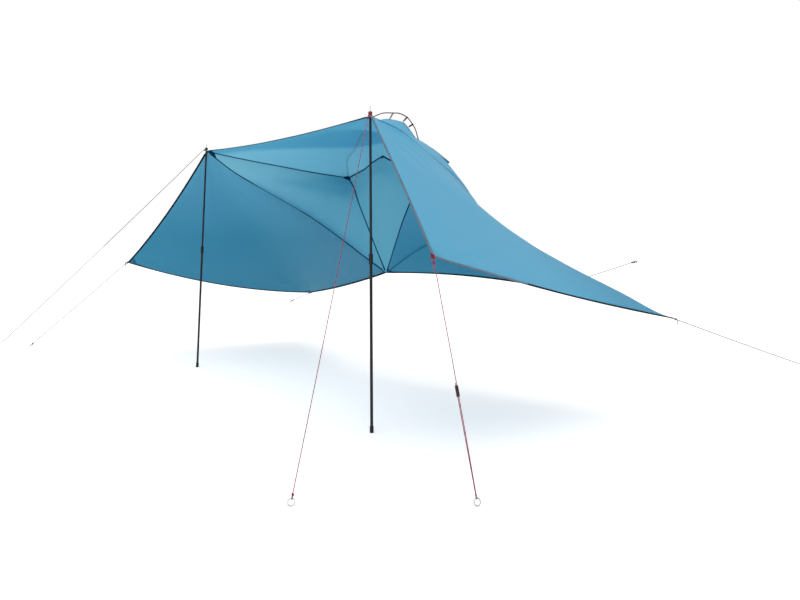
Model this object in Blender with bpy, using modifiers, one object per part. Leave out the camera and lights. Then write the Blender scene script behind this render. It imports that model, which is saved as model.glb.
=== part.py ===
"""Car tent: two telescopic front poles, a sewn canopy with two side wings, a hoop over its hood, and guy lines.

Metres, +Z up. The origin lies on the ground below the middle of the canopy, +X runs to the right-hand
pole seen from the open front, and the open front faces -Y.
"""
import math

import bmesh
import bpy
import numpy as np
from mathutils import Matrix, Vector

# Canopy, seen from the front. Each pair is the left and the right height of mirrored points.
POLE_LINE_Y = -0.63
HALF_SPAN = 1.37
POLE_TOP_Z = 2.0
WING_HALF_WIDTH = 2.542
WING_FRONT_Y = -1.024
WING_FRONT_Z = (0.954, 1.148)
TAIL_HALF_WIDTH = 2.442
TAIL_Y = 1.022
TAIL_Z = (0.565, 0.707)
PEAK_HALF_WIDTH = 0.755
PEAK_Y = 0.505
PEAK_Z = (1.763, 1.807)
REAR_TOP = (0.385, 1.903)
REAR_BASE = (0.414, 0.914)
FRONT_HEM_SAG = 0.033
WING_EDGE_SAG = (0.06, -0.015)
WING_BASE_SAG = (0.075, 0.022)
REAR_HEM_SAG = (0.02, -0.085)
RIDGE_SAG = 0.12
ROOF_SAG = (0.012, -0.029)
GABLE_BILLOW = (0.08, 0.134)
WING_BILLOW = 0.08
# Points that the bowed seams pass, each with its X as a share of the half width beside it.
REAR_SIDE_BOW = ((0.4914, 0.392, 1.49), (0.7417, 0.448, 1.655))
REAR_TOP_BOW = ((0.2013, 0.372, 1.853), (0.4636, 0.425, 1.815))
GABLE_BOW_LEFT = ((0.4204, 0.147, 1.31), (0.6212, 0.035, 1.462), (0.9409, -0.303, 1.759))
GABLE_LOW_RIGHT = (0.3796, 0.38, 1.13)
GABLE_HIGH_RIGHT = (0.986, -0.254, 1.856)
# The cord on the right rear hem pulls a fold into the back, from the peak to the hem.
FOLD_AT_SEAM = (0.7263, 0.606, 1.412)
FOLD_AT_HEM = 0.4
FRONT_STRUT_SAG = 0.044
REAR_STRUT_SAG = -0.059
FOLD_BILLOW = -0.014
SHELL_WALL = 0.0016
SHELL_PARTS = 12
HOOD_ROWS = 3
SOFTENING_ROUNDS = 2

# Trim sewn along the edges and seams.
TRIM_RADIUS = 0.0022
TOUCH_GAP = 0.0003
EDGE_INSET = TRIM_RADIUS + 0.0005
TRIM_END = 0.0085
BEND_CUT = 0.010
TAB_LENGTH = 0.006
TAB_WIDTH = 0.016
TAB_WALL = 0.0012
TAB_HALF_GAP = 0.0026
TAB_REACH = 0.0075
TAB_CLEAR = 0.013

# Poles. Lengths run along the pole from its foot.
FOOT_OUT = 0.13
FOOT_FORWARD = 0.081
LOWER_TUBE_RADIUS = 0.0095
UPPER_TUBE_RADIUS = 0.008
TUBE_WALL = 0.0011
SLIDING_GAP = 0.0004
LOWER_TUBE_FROM = 0.012
LOWER_TUBE_TO = 1.10
UPPER_TUBE_FROM = 0.72
COLLAR_RADIUS = 0.0132
COLLAR_SKIRT = 0.03
COLLAR_HEAD = 0.035
COLLAR_RIBS = 10
FOOT_RADIUS = 0.0125
FOOT_HEIGHT = 0.042
FLANGE_HEIGHT = 0.004
PLUG_LENGTH = 0.04
PEAK_END = 0.0183
CAP_RADIUS = 0.0135
CAP_HEIGHT = 0.021
CAP_ABOVE = 0.0061
SPIKE_RADIUS = 0.003
SPIKE_ABOVE = 0.066
PATCH_RADIUS = 0.0176
PATCH_HEIGHT = 0.0024

# Hoop: points across the tent from its middle and their heights, for the right half.
HOOP_Y = 0.43
HOOP_CENTRE_X = -0.075
HOOP_ROD_RADIUS = 0.0045
HOOP_TIE_RADIUS = 0.0016
HOOP_TIE_X = (0.16, 0.36, 0.44)
HOOP_RIGHT = ((0.0, 2.271), (0.165, 2.253), (0.256, 2.239), (0.37, 2.191), (0.469, 2.099), (0.511, 2.016))
HOOP_END = (0.545, 0.46, 1.90)
HOOP_TIP_RADIUS = 0.0055
HOOP_TIP_LENGTH = 0.022
CREST_RIGHT = ((0.0, 2.212), (0.094, 2.199), (0.223, 2.169), (0.299, 2.145), (0.398, 2.065), (0.471, 2.0),
               (0.6, 1.915))
CREST_Y = 0.40

# Guy lines.
CORD_RADIUS = 0.002
GROUND_RING_RADIUS = 0.018
GROUND_WIRE_RADIUS = 0.003
STRAND_SPACING = 0.009
ANCHOR_POLE = ((-2.93, -2.34), (2.431, -1.767))
ANCHOR_WING = ((-3.89, -1.72), (2.932, -1.054))
ANCHOR_TAIL = (2.75, 3.30)
KNOT_REACH = 0.024
STRAIGHT_RUN = 0.15
STRAND_END = 0.012
TENSIONER_ALONG = 0.56
TENSIONER_SIZE = (0.020, 0.008, 0.055)
HOOK_RADIUS = 0.003
HOOK_EYE = 0.0075
HOOK_SHANK = 0.012
HOOK_BEND = 0.008
HOOK_LEFT = (-2.665, 0.899, 0.464)
HOOK_RIGHT = (1.6, 1.674, 1.031)
REAR_TIE_AT = 5


def remove_everything():
    for thing in list(bpy.data.objects):
        bpy.data.objects.remove(thing)


def material(name, colour, roughness, metallic=0.0):
    made = bpy.data.materials.new(name)
    made.use_nodes = True
    shader = made.node_tree.nodes["Principled BSDF"]
    shader.inputs["Base Color"].default_value = (*colour, 1.0)
    shader.inputs["Roughness"].default_value = roughness
    shader.inputs["Metallic"].default_value = metallic
    return made


def collection(name):
    made = bpy.data.collections.new(name)
    bpy.context.scene.collection.children.link(made)
    return made


def mesh_object(name, points, faces, finish, edges=()):
    mesh = bpy.data.meshes.new(name)
    mesh.from_pydata([tuple(p) for p in points], list(edges), faces)
    mesh.materials.append(finish)
    thing = bpy.data.objects.new(name, mesh)
    PARTS.objects.link(thing)
    return thing


def smooth_curve(points, count):
    """Points spaced evenly along a smooth curve through the given ones."""
    given = [Vector(p) for p in points]
    ends = [2 * given[0] - given[1], *given, 2 * given[-1] - given[-2]]
    line = []
    for a, b, c, d in zip(ends, ends[1:], ends[2:], ends[3:]):
        for k in range(16):
            t = k / 16
            line.append(0.5 * ((2 * b) + (c - a) * t + (2 * a - 5 * b + 4 * c - d) * t ** 2
                               + (3 * b - a - 3 * c + d) * t ** 3))
    line.append(given[-1])
    line = np.array(line)
    along = np.concatenate([[0], np.cumsum(np.linalg.norm(np.diff(line, axis=0), axis=1))])
    at = np.linspace(0, along[-1], count + 1)
    return np.stack([np.interp(at, along, line[:, k]) for k in range(3)], axis=1)


def sagging(start, end, sag, count=SHELL_PARTS):
    """A straight edge whose middle hangs lower by sag."""
    share = np.linspace(0, 1, count + 1)[:, None]
    line = np.array(start) + share * (np.array(end) - np.array(start))
    line[:, 2] -= 4 * sag * (share * (1 - share))[:, 0]
    return line


def ridge_line(start, end, sag):
    """An edge that sags most near its middle and is nearly straight towards its ends."""
    line = sagging(start, end, 0)
    share = np.linspace(0, 1, len(line))
    line[:, 2] -= sag * np.sin(math.pi * share) ** 1.5
    return line


def halved(line, middle):
    """A finely drawn line in SHELL_PARTS parts, half of them before the given share of it."""
    half = SHELL_PARTS // 2 + 1
    place = np.concatenate([np.linspace(0, middle, half), np.linspace(middle, 1, half)[1:]]) * (len(line) - 1)
    return np.stack([np.interp(place, np.arange(len(line)), line[:, k]) for k in range(3)], axis=1)


def bow(points, side, half_width):
    return [(side * x * half_width, y, z) for x, y, z in points]


def deviation(curve):
    """How far each point of a curve lies from the straight line between its ends."""
    share = np.linspace(0, 1, len(curve))[:, None]
    return curve - (curve[0] + share * (curve[-1] - curve[0]))


def triangle_patch(ab, bc, ca, billow=0.0, fade=1.6):
    """A three-sided piece of cloth between three curves with equally many points: (points, faces).

    The sides' bends fade towards the corner opposite; a fade of 1 leaves straight lines to that corner.
    """
    n = len(ab) - 1
    away = [deviation(curve) for curve in (ab, bc, ca)]
    a, b, c = ab[0], bc[0], ca[0]
    normal = np.cross(b - a, c - a)
    normal /= np.linalg.norm(normal)
    points, index = [], {}
    for i in range(n + 1):
        for j in range(n + 1 - i):
            w, v = i / n, j / n
            u = 1 - v - w
            place = u * a + v * b + w * c + 27 * u * v * w * billow * normal
            for curve, first, second in ((away[0], u, v), (away[1], v, w), (away[2], w, u)):
                both = first + second
                if both > 1e-9:
                    at = second / both * n
                    low = min(int(at), n - 1)
                    off = curve[low] + (at - low) * (curve[low + 1] - curve[low])
                    place = place + off * both ** fade
            index[i, j] = len(points)
            points.append(place)
    faces = []
    for i in range(n):
        for j in range(n - i):
            faces.append((index[i, j], index[i, j + 1], index[i + 1, j]))
            if j < n - i - 1:
                faces.append((index[i, j + 1], index[i + 1, j + 1], index[i + 1, j]))
    return np.array(points), faces


def grid_patch(bottom, top, left, right, billow=0.0):
    """A four-sided piece of cloth; left and right run from bottom to top: (points, faces)."""
    n, m = len(bottom) - 1, len(left) - 1
    points = []
    for j in range(m + 1):
        v = j / m
        for i in range(n + 1):
            u = i / n
            place = (1 - v) * bottom[i] + v * top[i] + (1 - u) * left[j] + u * right[j]
            place = place - ((1 - u) * (1 - v) * bottom[0] + u * (1 - v) * bottom[-1]
                             + (1 - u) * v * top[0] + u * v * top[-1])
            place = place + 16 * u * (1 - u) * v * (1 - v) * np.array((0, 0, billow))
            points.append(place)
    faces = []
    for j in range(m):
        for i in range(n):
            k = j * (n + 1) + i
            faces.append((k, k + 1, k + n + 2, k + n + 1))
    return np.array(points), faces


def joined(first, second):
    """Two patches as one list of points and faces, with the points that they share welded."""
    points, faces = list(first[0]), list(first[1])
    place_of = {tuple(np.round(p, 6)): k for k, p in enumerate(points)}
    number = []
    for p in second[0]:
        key = tuple(np.round(p, 6))
        if key not in place_of:
            place_of[key] = len(points)
            points.append(p)
        number.append(place_of[key])
    faces += [tuple(number[k] for k in face) for face in second[1]]
    return np.array(points), faces


def border(faces):
    """The border's points in order, and the face beside each border edge."""
    seen = {}
    for face in faces:
        for a, b in zip(face, face[1:] + face[:1]):
            seen[a, b] = face
    after = {a: b for a, b in seen if (b, a) not in seen}
    start = next(iter(after))
    loop = [start]
    while after[loop[-1]] != start:
        loop.append(after[loop[-1]])
    return loop, seen


def softened(points, faces, rounds):
    """The patch with its inner points drawn towards their neighbours, so a fold becomes round."""
    loop, _ = border(faces)
    near = {k: set() for k in range(len(points))}
    for face in faces:
        for a, b in zip(face, face[1:] + face[:1]):
            near[a].add(b)
            near[b].add(a)
    fixed = set(loop)
    for _ in range(rounds):
        moved = points.copy()
        for k in range(len(points)):
            if k not in fixed:
                moved[k] = 0.5 * points[k] + 0.5 * np.mean([points[j] for j in near[k]], axis=0)
        points = moved
    return points


def drawn_in(points, faces, corners):
    """The patch with its border moved inwards by the trim's radius, and further at the named corners."""
    loop, beside = border(faces)
    moved = points.copy()
    found = {}
    for before, here, after in zip([loop[-1], *loop[:-1]], loop, [*loop[1:], loop[0]]):
        inward = []
        for a, b in ((before, here), (here, after)):
            face = beside[a, b]
            normal = np.cross(points[face[1]] - points[face[0]], points[face[2]] - points[face[0]])
            side = np.cross(normal, points[b] - points[a])
            inward.append(side / np.linalg.norm(side))
        both = inward[0] + inward[1]
        step = EDGE_INSET * both / max(1 + inward[0] @ inward[1], 0.02)
        for name, (place, reach) in corners.items():
            if np.linalg.norm(points[here] - place) < 1e-6:
                if np.linalg.norm(step) < reach:
                    step = step / np.linalg.norm(step) * reach
                normal = np.cross(points[here] - points[before], points[after] - points[here])
                found[name] = (-step / np.linalg.norm(step), normal / np.linalg.norm(normal))
        moved[here] = points[here] + step
    return moved, found


def cloth(name, patch, corners, finish):
    """A panel of the canopy as a thin closed shell; gives the outward direction and normal at its corners."""
    points, found = drawn_in(*patch, corners)
    panel = mesh_object(name, points, patch[1], finish)
    shell = panel.modifiers.new("wall", "SOLIDIFY")
    shell.thickness = SHELL_WALL
    shell.offset = 0
    panel.data.shade_smooth()
    return found


def tube(name, points, radius, finish, resolution=2):
    """A round bar along a line of points."""
    curve = bpy.data.curves.new(name, "CURVE")
    curve.dimensions = "3D"
    curve.bevel_depth = radius
    curve.bevel_resolution = resolution
    curve.use_fill_caps = True
    spline = curve.splines.new("POLY")
    spline.points.add(len(points) - 1)
    for spot, place in zip(spline.points, points):
        spot.co = (*place, 1.0)
    curve.materials.append(finish)
    thing = bpy.data.objects.new(name, curve)
    PARTS.objects.link(thing)
    return thing


def shortened(line, at_start, at_end):
    """The line with a length taken off each end."""
    line = [np.array(p) for p in line]
    for cut in (at_start, at_end):
        if cut:
            step = line[1] - line[0]
            line[0] = line[0] + step / np.linalg.norm(step) * cut
        line.reverse()
    return line


def standing_frame(base, towards):
    """A frame at base whose Z points towards a place, and whose X stays level."""
    up = (Vector(towards) - Vector(base)).normalized()
    side = Vector((0, 1, 0)).cross(up).normalized()
    across = up.cross(side)
    frame = Matrix((side, across, up)).transposed().to_4x4()
    frame.translation = Vector(base)
    return frame


def turned(name, profile, frame, finish, closed=True, steps=24):
    """A shape turned about the frame's Z from a profile of (radius, height), outer side downwards."""
    points = [(radius, 0, height) for radius, height in profile]
    edges = [(k, k + 1) for k in range(len(points) - 1)]
    if closed:
        edges.append((len(points) - 1, 0))
    thing = mesh_object(name, points, [], finish, edges)
    spin = thing.modifiers.new("turn", "SCREW")
    spin.steps = spin.render_steps = steps
    spin.use_merge_vertices = True
    spin.merge_threshold = 0.00001
    spin.use_smooth_shade = True
    thing.matrix_world = frame
    return thing


def ring(name, centre, normal, radius, wire, finish, parts=(20, 8)):
    """A closed ring of round wire."""
    bpy.ops.mesh.primitive_torus_add(major_radius=radius, minor_radius=wire, major_segments=parts[0],
                                     minor_segments=parts[1])
    thing = bpy.context.object
    thing.name = thing.data.name = name
    thing.matrix_world = Vector(normal).to_track_quat("Z", "Y").to_matrix().to_4x4()
    thing.location = centre
    for owner in list(thing.users_collection):
        owner.objects.unlink(thing)
    PARTS.objects.link(thing)
    thing.data.materials.append(finish)
    thing.data.shade_smooth()
    return thing


def cut(thing, cutter):
    hole = thing.modifiers.new("cut", "BOOLEAN")
    hole.operation = "DIFFERENCE"
    hole.solver = "EXACT"
    hole.object = cutter
    cutter.hide_render = True
    cutter.display_type = "WIRE"


def box_cutter(name, centre, size):
    bpy.ops.mesh.primitive_cube_add(size=1, location=centre)
    cutter = bpy.context.object
    cutter.name = name
    cutter.scale = size
    for owner in list(cutter.users_collection):
        owner.objects.unlink(cutter)
    CUTTERS.objects.link(cutter)
    return cutter


# Points and edges of the canopy


def both_sides(half_width, y, heights):
    return [np.array((side * half_width, y, z)) for side, z in zip((-1, 1), heights)]


def canopy_lines():
    """Every corner and every edge line of the canopy, as dictionaries."""
    top = both_sides(HALF_SPAN, POLE_LINE_Y, (POLE_TOP_Z, POLE_TOP_Z))
    wing = both_sides(WING_HALF_WIDTH, WING_FRONT_Y, WING_FRONT_Z)
    tail = both_sides(TAIL_HALF_WIDTH, TAIL_Y, TAIL_Z)
    peak = both_sides(PEAK_HALF_WIDTH, PEAK_Y, PEAK_Z)
    rear_top = np.array((0.0, *REAR_TOP))
    base = np.array((0.0, *REAR_BASE))
    line = {"front": sagging(top[0], top[1], FRONT_HEM_SAG)}
    for k, name in enumerate(("left", "right")):
        side = 2 * k - 1
        line["wing_front_" + name] = sagging(top[k], wing[k], WING_EDGE_SAG[k])
        line["wing_base_" + name] = sagging(wing[k], tail[k], WING_BASE_SAG[k])
        line["rear_" + name] = sagging(tail[k], base, REAR_HEM_SAG[k])
        line["ridge_" + name] = ridge_line(tail[k], top[k], RIDGE_SAG)
        line["roof_" + name] = sagging(top[k], peak[k], ROOF_SAG[k])
        rear_side = [base, *bow(REAR_SIDE_BOW, side, PEAK_HALF_WIDTH), peak[k]]
        line["rear_side_" + name] = smooth_curve(rear_side, SHELL_PARTS)
    gable = [base, *bow(GABLE_BOW_LEFT, -1, HALF_SPAN), top[0]]
    line["gable_left"] = smooth_curve(gable, SHELL_PARTS)
    high, fold, low = bow((GABLE_HIGH_RIGHT, FOLD_AT_SEAM, GABLE_LOW_RIGHT), 1, HALF_SPAN)
    fine_seam = smooth_curve([base, low, fold, high, top[1]], 480)
    away = np.linalg.norm(fine_seam - np.array(fold), axis=1)
    line["gable_right"] = halved(fine_seam, int(np.argmin(away)) / 480)
    line["rear_right"] = halved(sagging(tail[1], base, REAR_HEM_SAG[1], 480), FOLD_AT_HEM)
    half = [np.array((x, CREST_Y, z)) for x, z in CREST_RIGHT]
    mirror = [p * (-1, 1, 1) for p in reversed(half[1:])]
    line["crest"] = smooth_curve([peak[0], *mirror, *half, peak[1]], SHELL_PARTS)
    far = bow(REAR_TOP_BOW, -1, PEAK_HALF_WIDTH)
    near = bow(REAR_TOP_BOW, 1, PEAK_HALF_WIDTH)
    left = smooth_curve([peak[0], *reversed(far), rear_top], SHELL_PARTS // 2)
    right = smooth_curve([rear_top, *near, peak[1]], SHELL_PARTS // 2)
    line["rear_top"] = np.concatenate([left, right[1:]])
    corner = {"top": top, "wing": wing, "tail": tail, "peak": peak, "rear_top": rear_top, "base": base}
    return corner, line


def make_canopy(corner, line):
    """The seven sewn panels; gives the directions at the four outer corners."""
    ends = {}
    for k, name in enumerate(("left", "right")):
        ends["top_" + name] = (corner["top"][k], PEAK_END)
        ends["wing_" + name] = (corner["wing"][k], TAB_CLEAR)
        ends["tail_" + name] = (corner["tail"][k], TAB_CLEAR)
        ends["peak_" + name] = (corner["peak"][k], TRIM_END)
    ends["rear_top"] = (corner["rear_top"], TRIM_END)
    ends["base"] = (corner["base"], TRIM_END)
    roof = grid_patch(line["front"], line["crest"], line["roof_left"], line["roof_right"])
    cloth("roof_panel", roof, ends, OUTER_CLOTH)
    rows = np.linspace(0, 1, HOOD_ROWS + 1)[:, None, None]
    layers = (1 - rows) * line["rear_top"] + rows * line["crest"]
    hood = [list(layer) for layer in layers]
    cloth("hood_panel", hood_patch(hood), ends, OUTER_CLOTH)
    rear = triangle_patch(line["rear_side_right"][::-1], line["rear_side_left"], line["rear_top"])
    cloth("rear_panel", rear, ends, OUTER_CLOTH)
    found = {}
    for k, name in enumerate(("left", "right")):
        gable = triangle_patch(line["roof_" + name], line["rear_side_" + name][::-1],
                               line["gable_" + name], GABLE_BILLOW[k] * (1 - 2 * k), (1.6, 1.0)[k])
        if name == "right":
            gable = (softened(*gable, SOFTENING_ROUNDS), gable[1])
        cloth("gable_panel_" + name, gable, ends, OUTER_CLOTH)
        wing = triangle_patch(line["wing_front_" + name], line["wing_base_" + name],
                              line["ridge_" + name])
        for back in (left_back, right_back)[k](line):
            wing = joined(wing, back)
        wing = (softened(*wing, SOFTENING_ROUNDS), wing[1])
        if name == "right":
            found["rear_tie"] = normal_near(wing, line["rear_right"][REAR_TIE_AT])
        found.update(cloth("side_wing_" + name, wing, ends, OUTER_CLOTH))
    return found


def left_back(line):
    """The left wing's back, from its ridge to the gable."""
    return [triangle_patch(line["ridge_left"][::-1], line["rear_left"], line["gable_left"], -WING_BILLOW)]


def right_back(line):
    """The right wing's back as four triangles, on both sides of the fold that the rear cord pulls."""
    half = SHELL_PARTS // 2
    ridge = line["ridge_right"][::-1]
    hem = line["rear_right"]
    seam = line["gable_right"]
    strut = sagging(seam[half], ridge[half], FRONT_STRUT_SAG, half)
    stay = sagging(ridge[half], hem[half], REAR_STRUT_SAG, half)
    fold = sagging(hem[half], seam[half], 0, half)
    return [triangle_patch(ridge[:half + 1], strut[::-1], seam[half:], FOLD_BILLOW, 1.0),
            triangle_patch(strut, stay, fold, 0, 1.0),
            triangle_patch(stay[::-1], ridge[half:], hem[:half + 1], 0, 1.0),
            triangle_patch(fold[::-1], hem[half:], seam[:half + 1], 0, 1.0)]


def normal_near(patch, place):
    """The normal of the face whose middle is nearest to a place."""
    points, faces = patch
    face = min(faces, key=lambda f: np.linalg.norm(points[list(f)].mean(axis=0) - place))
    return unit(np.cross(points[face[1]] - points[face[0]], points[face[2]] - points[face[0]]))


def hood_patch(layers):
    """The hood between its two edges, which meet in a point at both ends: (points, faces)."""
    n = len(layers[0]) - 1
    points, number = [], {}
    for j, layer in enumerate(layers):
        for i, place in enumerate(layer):
            if i in (0, n) and j:
                number[j, i] = number[0, i]
                continue
            number[j, i] = len(points)
            points.append(place)
    faces = []
    for j in range(len(layers) - 1):
        for i in range(n):
            face = [number[j, i], number[j, i + 1], number[j + 1, i + 1], number[j + 1, i]]
            faces.append(tuple(dict.fromkeys(face)))
    return np.array(points), faces


def rounded(lines, cut):
    """Several lines end to end as one, with each joint between them rounded off."""
    whole = [np.array(p) for p in lines[0]]
    for line in lines[1:]:
        corner, before, after = whole[-1], whole[-2], np.array(line[1])
        back = (before - corner) / np.linalg.norm(before - corner)
        on = (after - corner) / np.linalg.norm(after - corner)
        whole[-1] = corner + back * cut
        for share in (0.25, 0.5, 0.75):
            whole.append(corner + back * cut * (1 - share) ** 2 + on * cut * share ** 2)
        whole.append(corner + on * cut)
        whole += [np.array(p) for p in line[1:]]
    return whole


def make_trim(line):
    """Bindings along the free edges and tapes along the seams."""
    top_end = PEAK_END
    tube("binding_front", shortened(line["front"], top_end, top_end), TRIM_RADIUS, BINDING, 1)
    for name in ("left", "right"):
        edge = rounded([line[part + name] for part in ("wing_front_", "wing_base_", "rear_")], BEND_CUT)
        tube("binding_" + name, shortened(edge, top_end, TRIM_END), TRIM_RADIUS, BINDING, 1)
        tube("seam_rear_side_" + name, shortened(line["rear_side_" + name], TRIM_END, TRIM_END),
             TRIM_RADIUS, SEAM, 1)
    tube("seam_crest", shortened(line["crest"], TRIM_END, TRIM_END), TRIM_RADIUS, SEAM, 1)
    roof = rounded([line["roof_left"], line["rear_top"], line["roof_right"][::-1]], BEND_CUT)
    tube("seam_roof", shortened(roof, top_end, top_end), TRIM_RADIUS, SEAM, 1)
    gable = rounded([line["gable_left"][::-1], line["gable_right"]], BEND_CUT)
    tube("seam_gable", shortened(gable, top_end, top_end), TRIM_RADIUS, SEAM, 1)


# Web tabs at the corners


def tab(name, place, outward, normal):
    """A web tab folded over the cloth's edge, with room for a cord in its fold."""
    inner, outer = TAB_HALF_GAP, TAB_HALF_GAP + TAB_WALL
    bends = 6
    arc = [math.pi * k / bends for k in range(bends + 1)]
    rim = [(TAB_REACH + outer * math.sin(a), outer * math.cos(a)) for a in arc]
    bore = [(TAB_REACH + inner * math.sin(a), inner * math.cos(a)) for a in arc]
    outline = [(-TAB_LENGTH, outer), *rim, (-TAB_LENGTH, -outer), (-TAB_LENGTH, -inner), *reversed(bore),
               (-TAB_LENGTH, inner)]
    shape = bpy.data.curves.new(name, "CURVE")
    shape.dimensions = "2D"
    shape.fill_mode = "BOTH"
    shape.extrude = TAB_WIDTH / 2
    spline = shape.splines.new("POLY")
    spline.points.add(len(outline) - 1)
    for spot, (x, y) in zip(spline.points, outline):
        spot.co = (x, y, 0, 1)
    spline.use_cyclic_u = True
    shape.materials.append(RED)
    thing = bpy.data.objects.new(name, shape)
    PARTS.objects.link(thing)
    out, up = Vector(outward), Vector(normal)
    frame = Matrix((out, up, out.cross(up))).transposed().to_4x4()
    frame.translation = Vector(place)
    thing.matrix_world = frame


def unit(vector):
    return np.array(vector) / np.linalg.norm(vector)


def tab_directions(bisector, normal, pull):
    """The tab's outward direction, which turns towards the pull, and the direction across it."""
    normal = unit(normal)
    flat_pull = pull - (pull @ normal) * normal
    flat_bisector = bisector - (bisector @ normal) * normal
    outward = unit(unit(flat_bisector) + flat_pull)
    return outward, np.cross(outward, normal)


def tied_start(place, outward, across, pull, tail=True):
    """A cord's points from its loose tail through a tab's fold to the strand that leaves along pull."""
    down = np.array((0.0, 0.0, -1.0))
    if across @ (down - (down @ pull) * pull) < 0:
        across = -across
    centre = place + outward * TAB_REACH
    square = unit(pull - (pull @ across) * across)
    strand = CORD_RADIUS + TOUCH_GAP / 2
    half = TAB_WIDTH / 2
    neck = centre + pull * KNOT_REACH
    turn = ((half + 0.0028, 0.0105), (half + 0.0042, 0.005), (half + 0.0034, 0.0012), (half + 0.0014, 0.0))
    points = []
    if tail:
        knot = neck + across * strand
        bend = knot + pull * 0.006 + across * 0.002
        drop = bend + unit(unit(pull + down) + across * 0.3) * 0.010
        points = [drop + down * 0.026 + across * 0.001, drop + down * 0.013 + across * 0.001, drop, bend]
    points.append(neck + across * strand)
    points += [centre + across * w + square * g for w, g in turn]
    points += [centre - across * w + square * g for w, g in reversed(turn)]
    points.append(neck - across * strand)
    return points, neck - across * strand


def tied_end(bar, way, side, bar_radius, back=KNOT_REACH):
    """A cord's points where it comes down against way, passes round a bar and goes back beside itself."""
    reach = bar_radius + CORD_RADIUS + TOUCH_GAP + 0.0001
    strand = CORD_RADIUS + TOUCH_GAP / 2
    points = [bar + way * KNOT_REACH + side * strand]
    for angle in (75, 110, 145, 180, 215, 250, 285):
        turn = math.radians(angle)
        points.append(bar + (way * math.cos(turn) + side * math.sin(turn)) * reach)
    points.append(bar + way * KNOT_REACH - side * strand)
    if back > KNOT_REACH:
        points.append(bar + way * back - side * strand)
    return points


# Poles


def pole_frame(side):
    foot = (side * (HALF_SPAN + FOOT_OUT), POLE_LINE_Y - FOOT_FORWARD, 0)
    head = (side * HALF_SPAN, POLE_LINE_Y, POLE_TOP_Z)
    return standing_frame(foot, head), (Vector(head) - Vector(foot)).length


def ring_profile(outer, inner, low, high):
    return [(outer, high), (outer, low), (inner, low), (inner, high)]


def groove_cutter(name, frame):
    """Ten upright bars round the collar, as one cutter."""
    build = bmesh.new()
    for k in range(COLLAR_RIBS):
        turn = Matrix.Rotation(2 * math.pi * k / COLLAR_RIBS, 4, "Z")
        place = Matrix.Translation((COLLAR_RADIUS, 0, LOWER_TUBE_TO + 0.003))
        size = Matrix.Diagonal((0.0016, 0.0026, 0.044, 1))
        bmesh.ops.create_cube(build, size=1, matrix=turn @ place @ size)
    mesh = bpy.data.meshes.new(name)
    build.to_mesh(mesh)
    build.free()
    cutter = bpy.data.objects.new(name, mesh)
    cutter.matrix_world = frame
    CUTTERS.objects.link(cutter)
    return cutter


def make_pole(name, side):
    frame, length = pole_frame(side)
    bore = LOWER_TUBE_RADIUS - TUBE_WALL
    turned("pole_lower_" + name, ring_profile(LOWER_TUBE_RADIUS, bore, LOWER_TUBE_FROM, LOWER_TUBE_TO),
           frame, BLACK_STEEL)
    head = length - PATCH_HEIGHT / 2 - TOUCH_GAP
    tube_top = head - FLANGE_HEIGHT - TOUCH_GAP
    upper_bore = UPPER_TUBE_RADIUS - TUBE_WALL
    turned("pole_upper_" + name, ring_profile(UPPER_TUBE_RADIUS, upper_bore, UPPER_TUBE_FROM, tube_top),
           frame, BLACK_STEEL)
    foot_bore = LOWER_TUBE_RADIUS + TOUCH_GAP
    foot_profile = [(foot_bore, FOOT_HEIGHT), (FOOT_RADIUS - 0.001, FOOT_HEIGHT),
                    (FOOT_RADIUS, FOOT_HEIGHT - 0.002), (FOOT_RADIUS, -0.01), (0, -0.01),
                    (0, LOWER_TUBE_FROM - TOUCH_GAP), (foot_bore, LOWER_TUBE_FROM - TOUCH_GAP)]
    foot = turned("pole_foot_" + name, foot_profile, frame, BLACK_RUBBER, closed=True)
    cut(foot, box_cutter("ground_" + name, (frame.translation.x, frame.translation.y, -0.05), (0.1, 0.1, 0.1)))
    skirt = LOWER_TUBE_TO - COLLAR_SKIRT
    crown = LOWER_TUBE_TO + COLLAR_HEAD
    skirt_bore = LOWER_TUBE_RADIUS + TOUCH_GAP
    head_bore = UPPER_TUBE_RADIUS + SLIDING_GAP
    profile = [(COLLAR_RADIUS - 0.002, crown), (COLLAR_RADIUS, crown - 0.003),
               (COLLAR_RADIUS, skirt + 0.002), (COLLAR_RADIUS - 0.0015, skirt), (skirt_bore, skirt),
               (skirt_bore, LOWER_TUBE_TO + TOUCH_GAP), (head_bore, LOWER_TUBE_TO + TOUCH_GAP),
               (head_bore, crown)]
    collar = turned("pole_collar_" + name, profile, frame, BLACK_PLASTIC, steps=20)
    cut(collar, groove_cutter("grooves_" + name, frame))
    plug = upper_bore - TOUCH_GAP
    tip = length + SPIKE_ABOVE
    spike = [(0, tip), (SPIKE_RADIUS * 0.4, tip - 0.001), (SPIKE_RADIUS, tip - 0.012), (SPIKE_RADIUS, head),
             (UPPER_TUBE_RADIUS, head), (UPPER_TUBE_RADIUS, head - FLANGE_HEIGHT),
             (plug, head - FLANGE_HEIGHT), (plug, head - PLUG_LENGTH), (0, head - PLUG_LENGTH)]
    turned("pole_spike_" + name, spike, frame, STEEL, closed=False, steps=20)
    around = SPIKE_RADIUS + TOUCH_GAP
    turned("peak_patch_" + name, ring_profile(PATCH_RADIUS, around, length - PATCH_HEIGHT / 2,
                                              length + PATCH_HEIGHT / 2), frame, RED)
    low = length + CAP_ABOVE
    cap = [(CAP_RADIUS * 0.6, low + CAP_HEIGHT), (CAP_RADIUS * 0.92, low + CAP_HEIGHT - 0.003),
           (CAP_RADIUS, low + CAP_HEIGHT * 0.6), (CAP_RADIUS, low + 0.006), (CAP_RADIUS * 0.85, low),
           (around, low), (around, low + CAP_HEIGHT)]
    turned("pole_cap_" + name, cap, frame, RED_PLASTIC)


# Hoop


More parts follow.
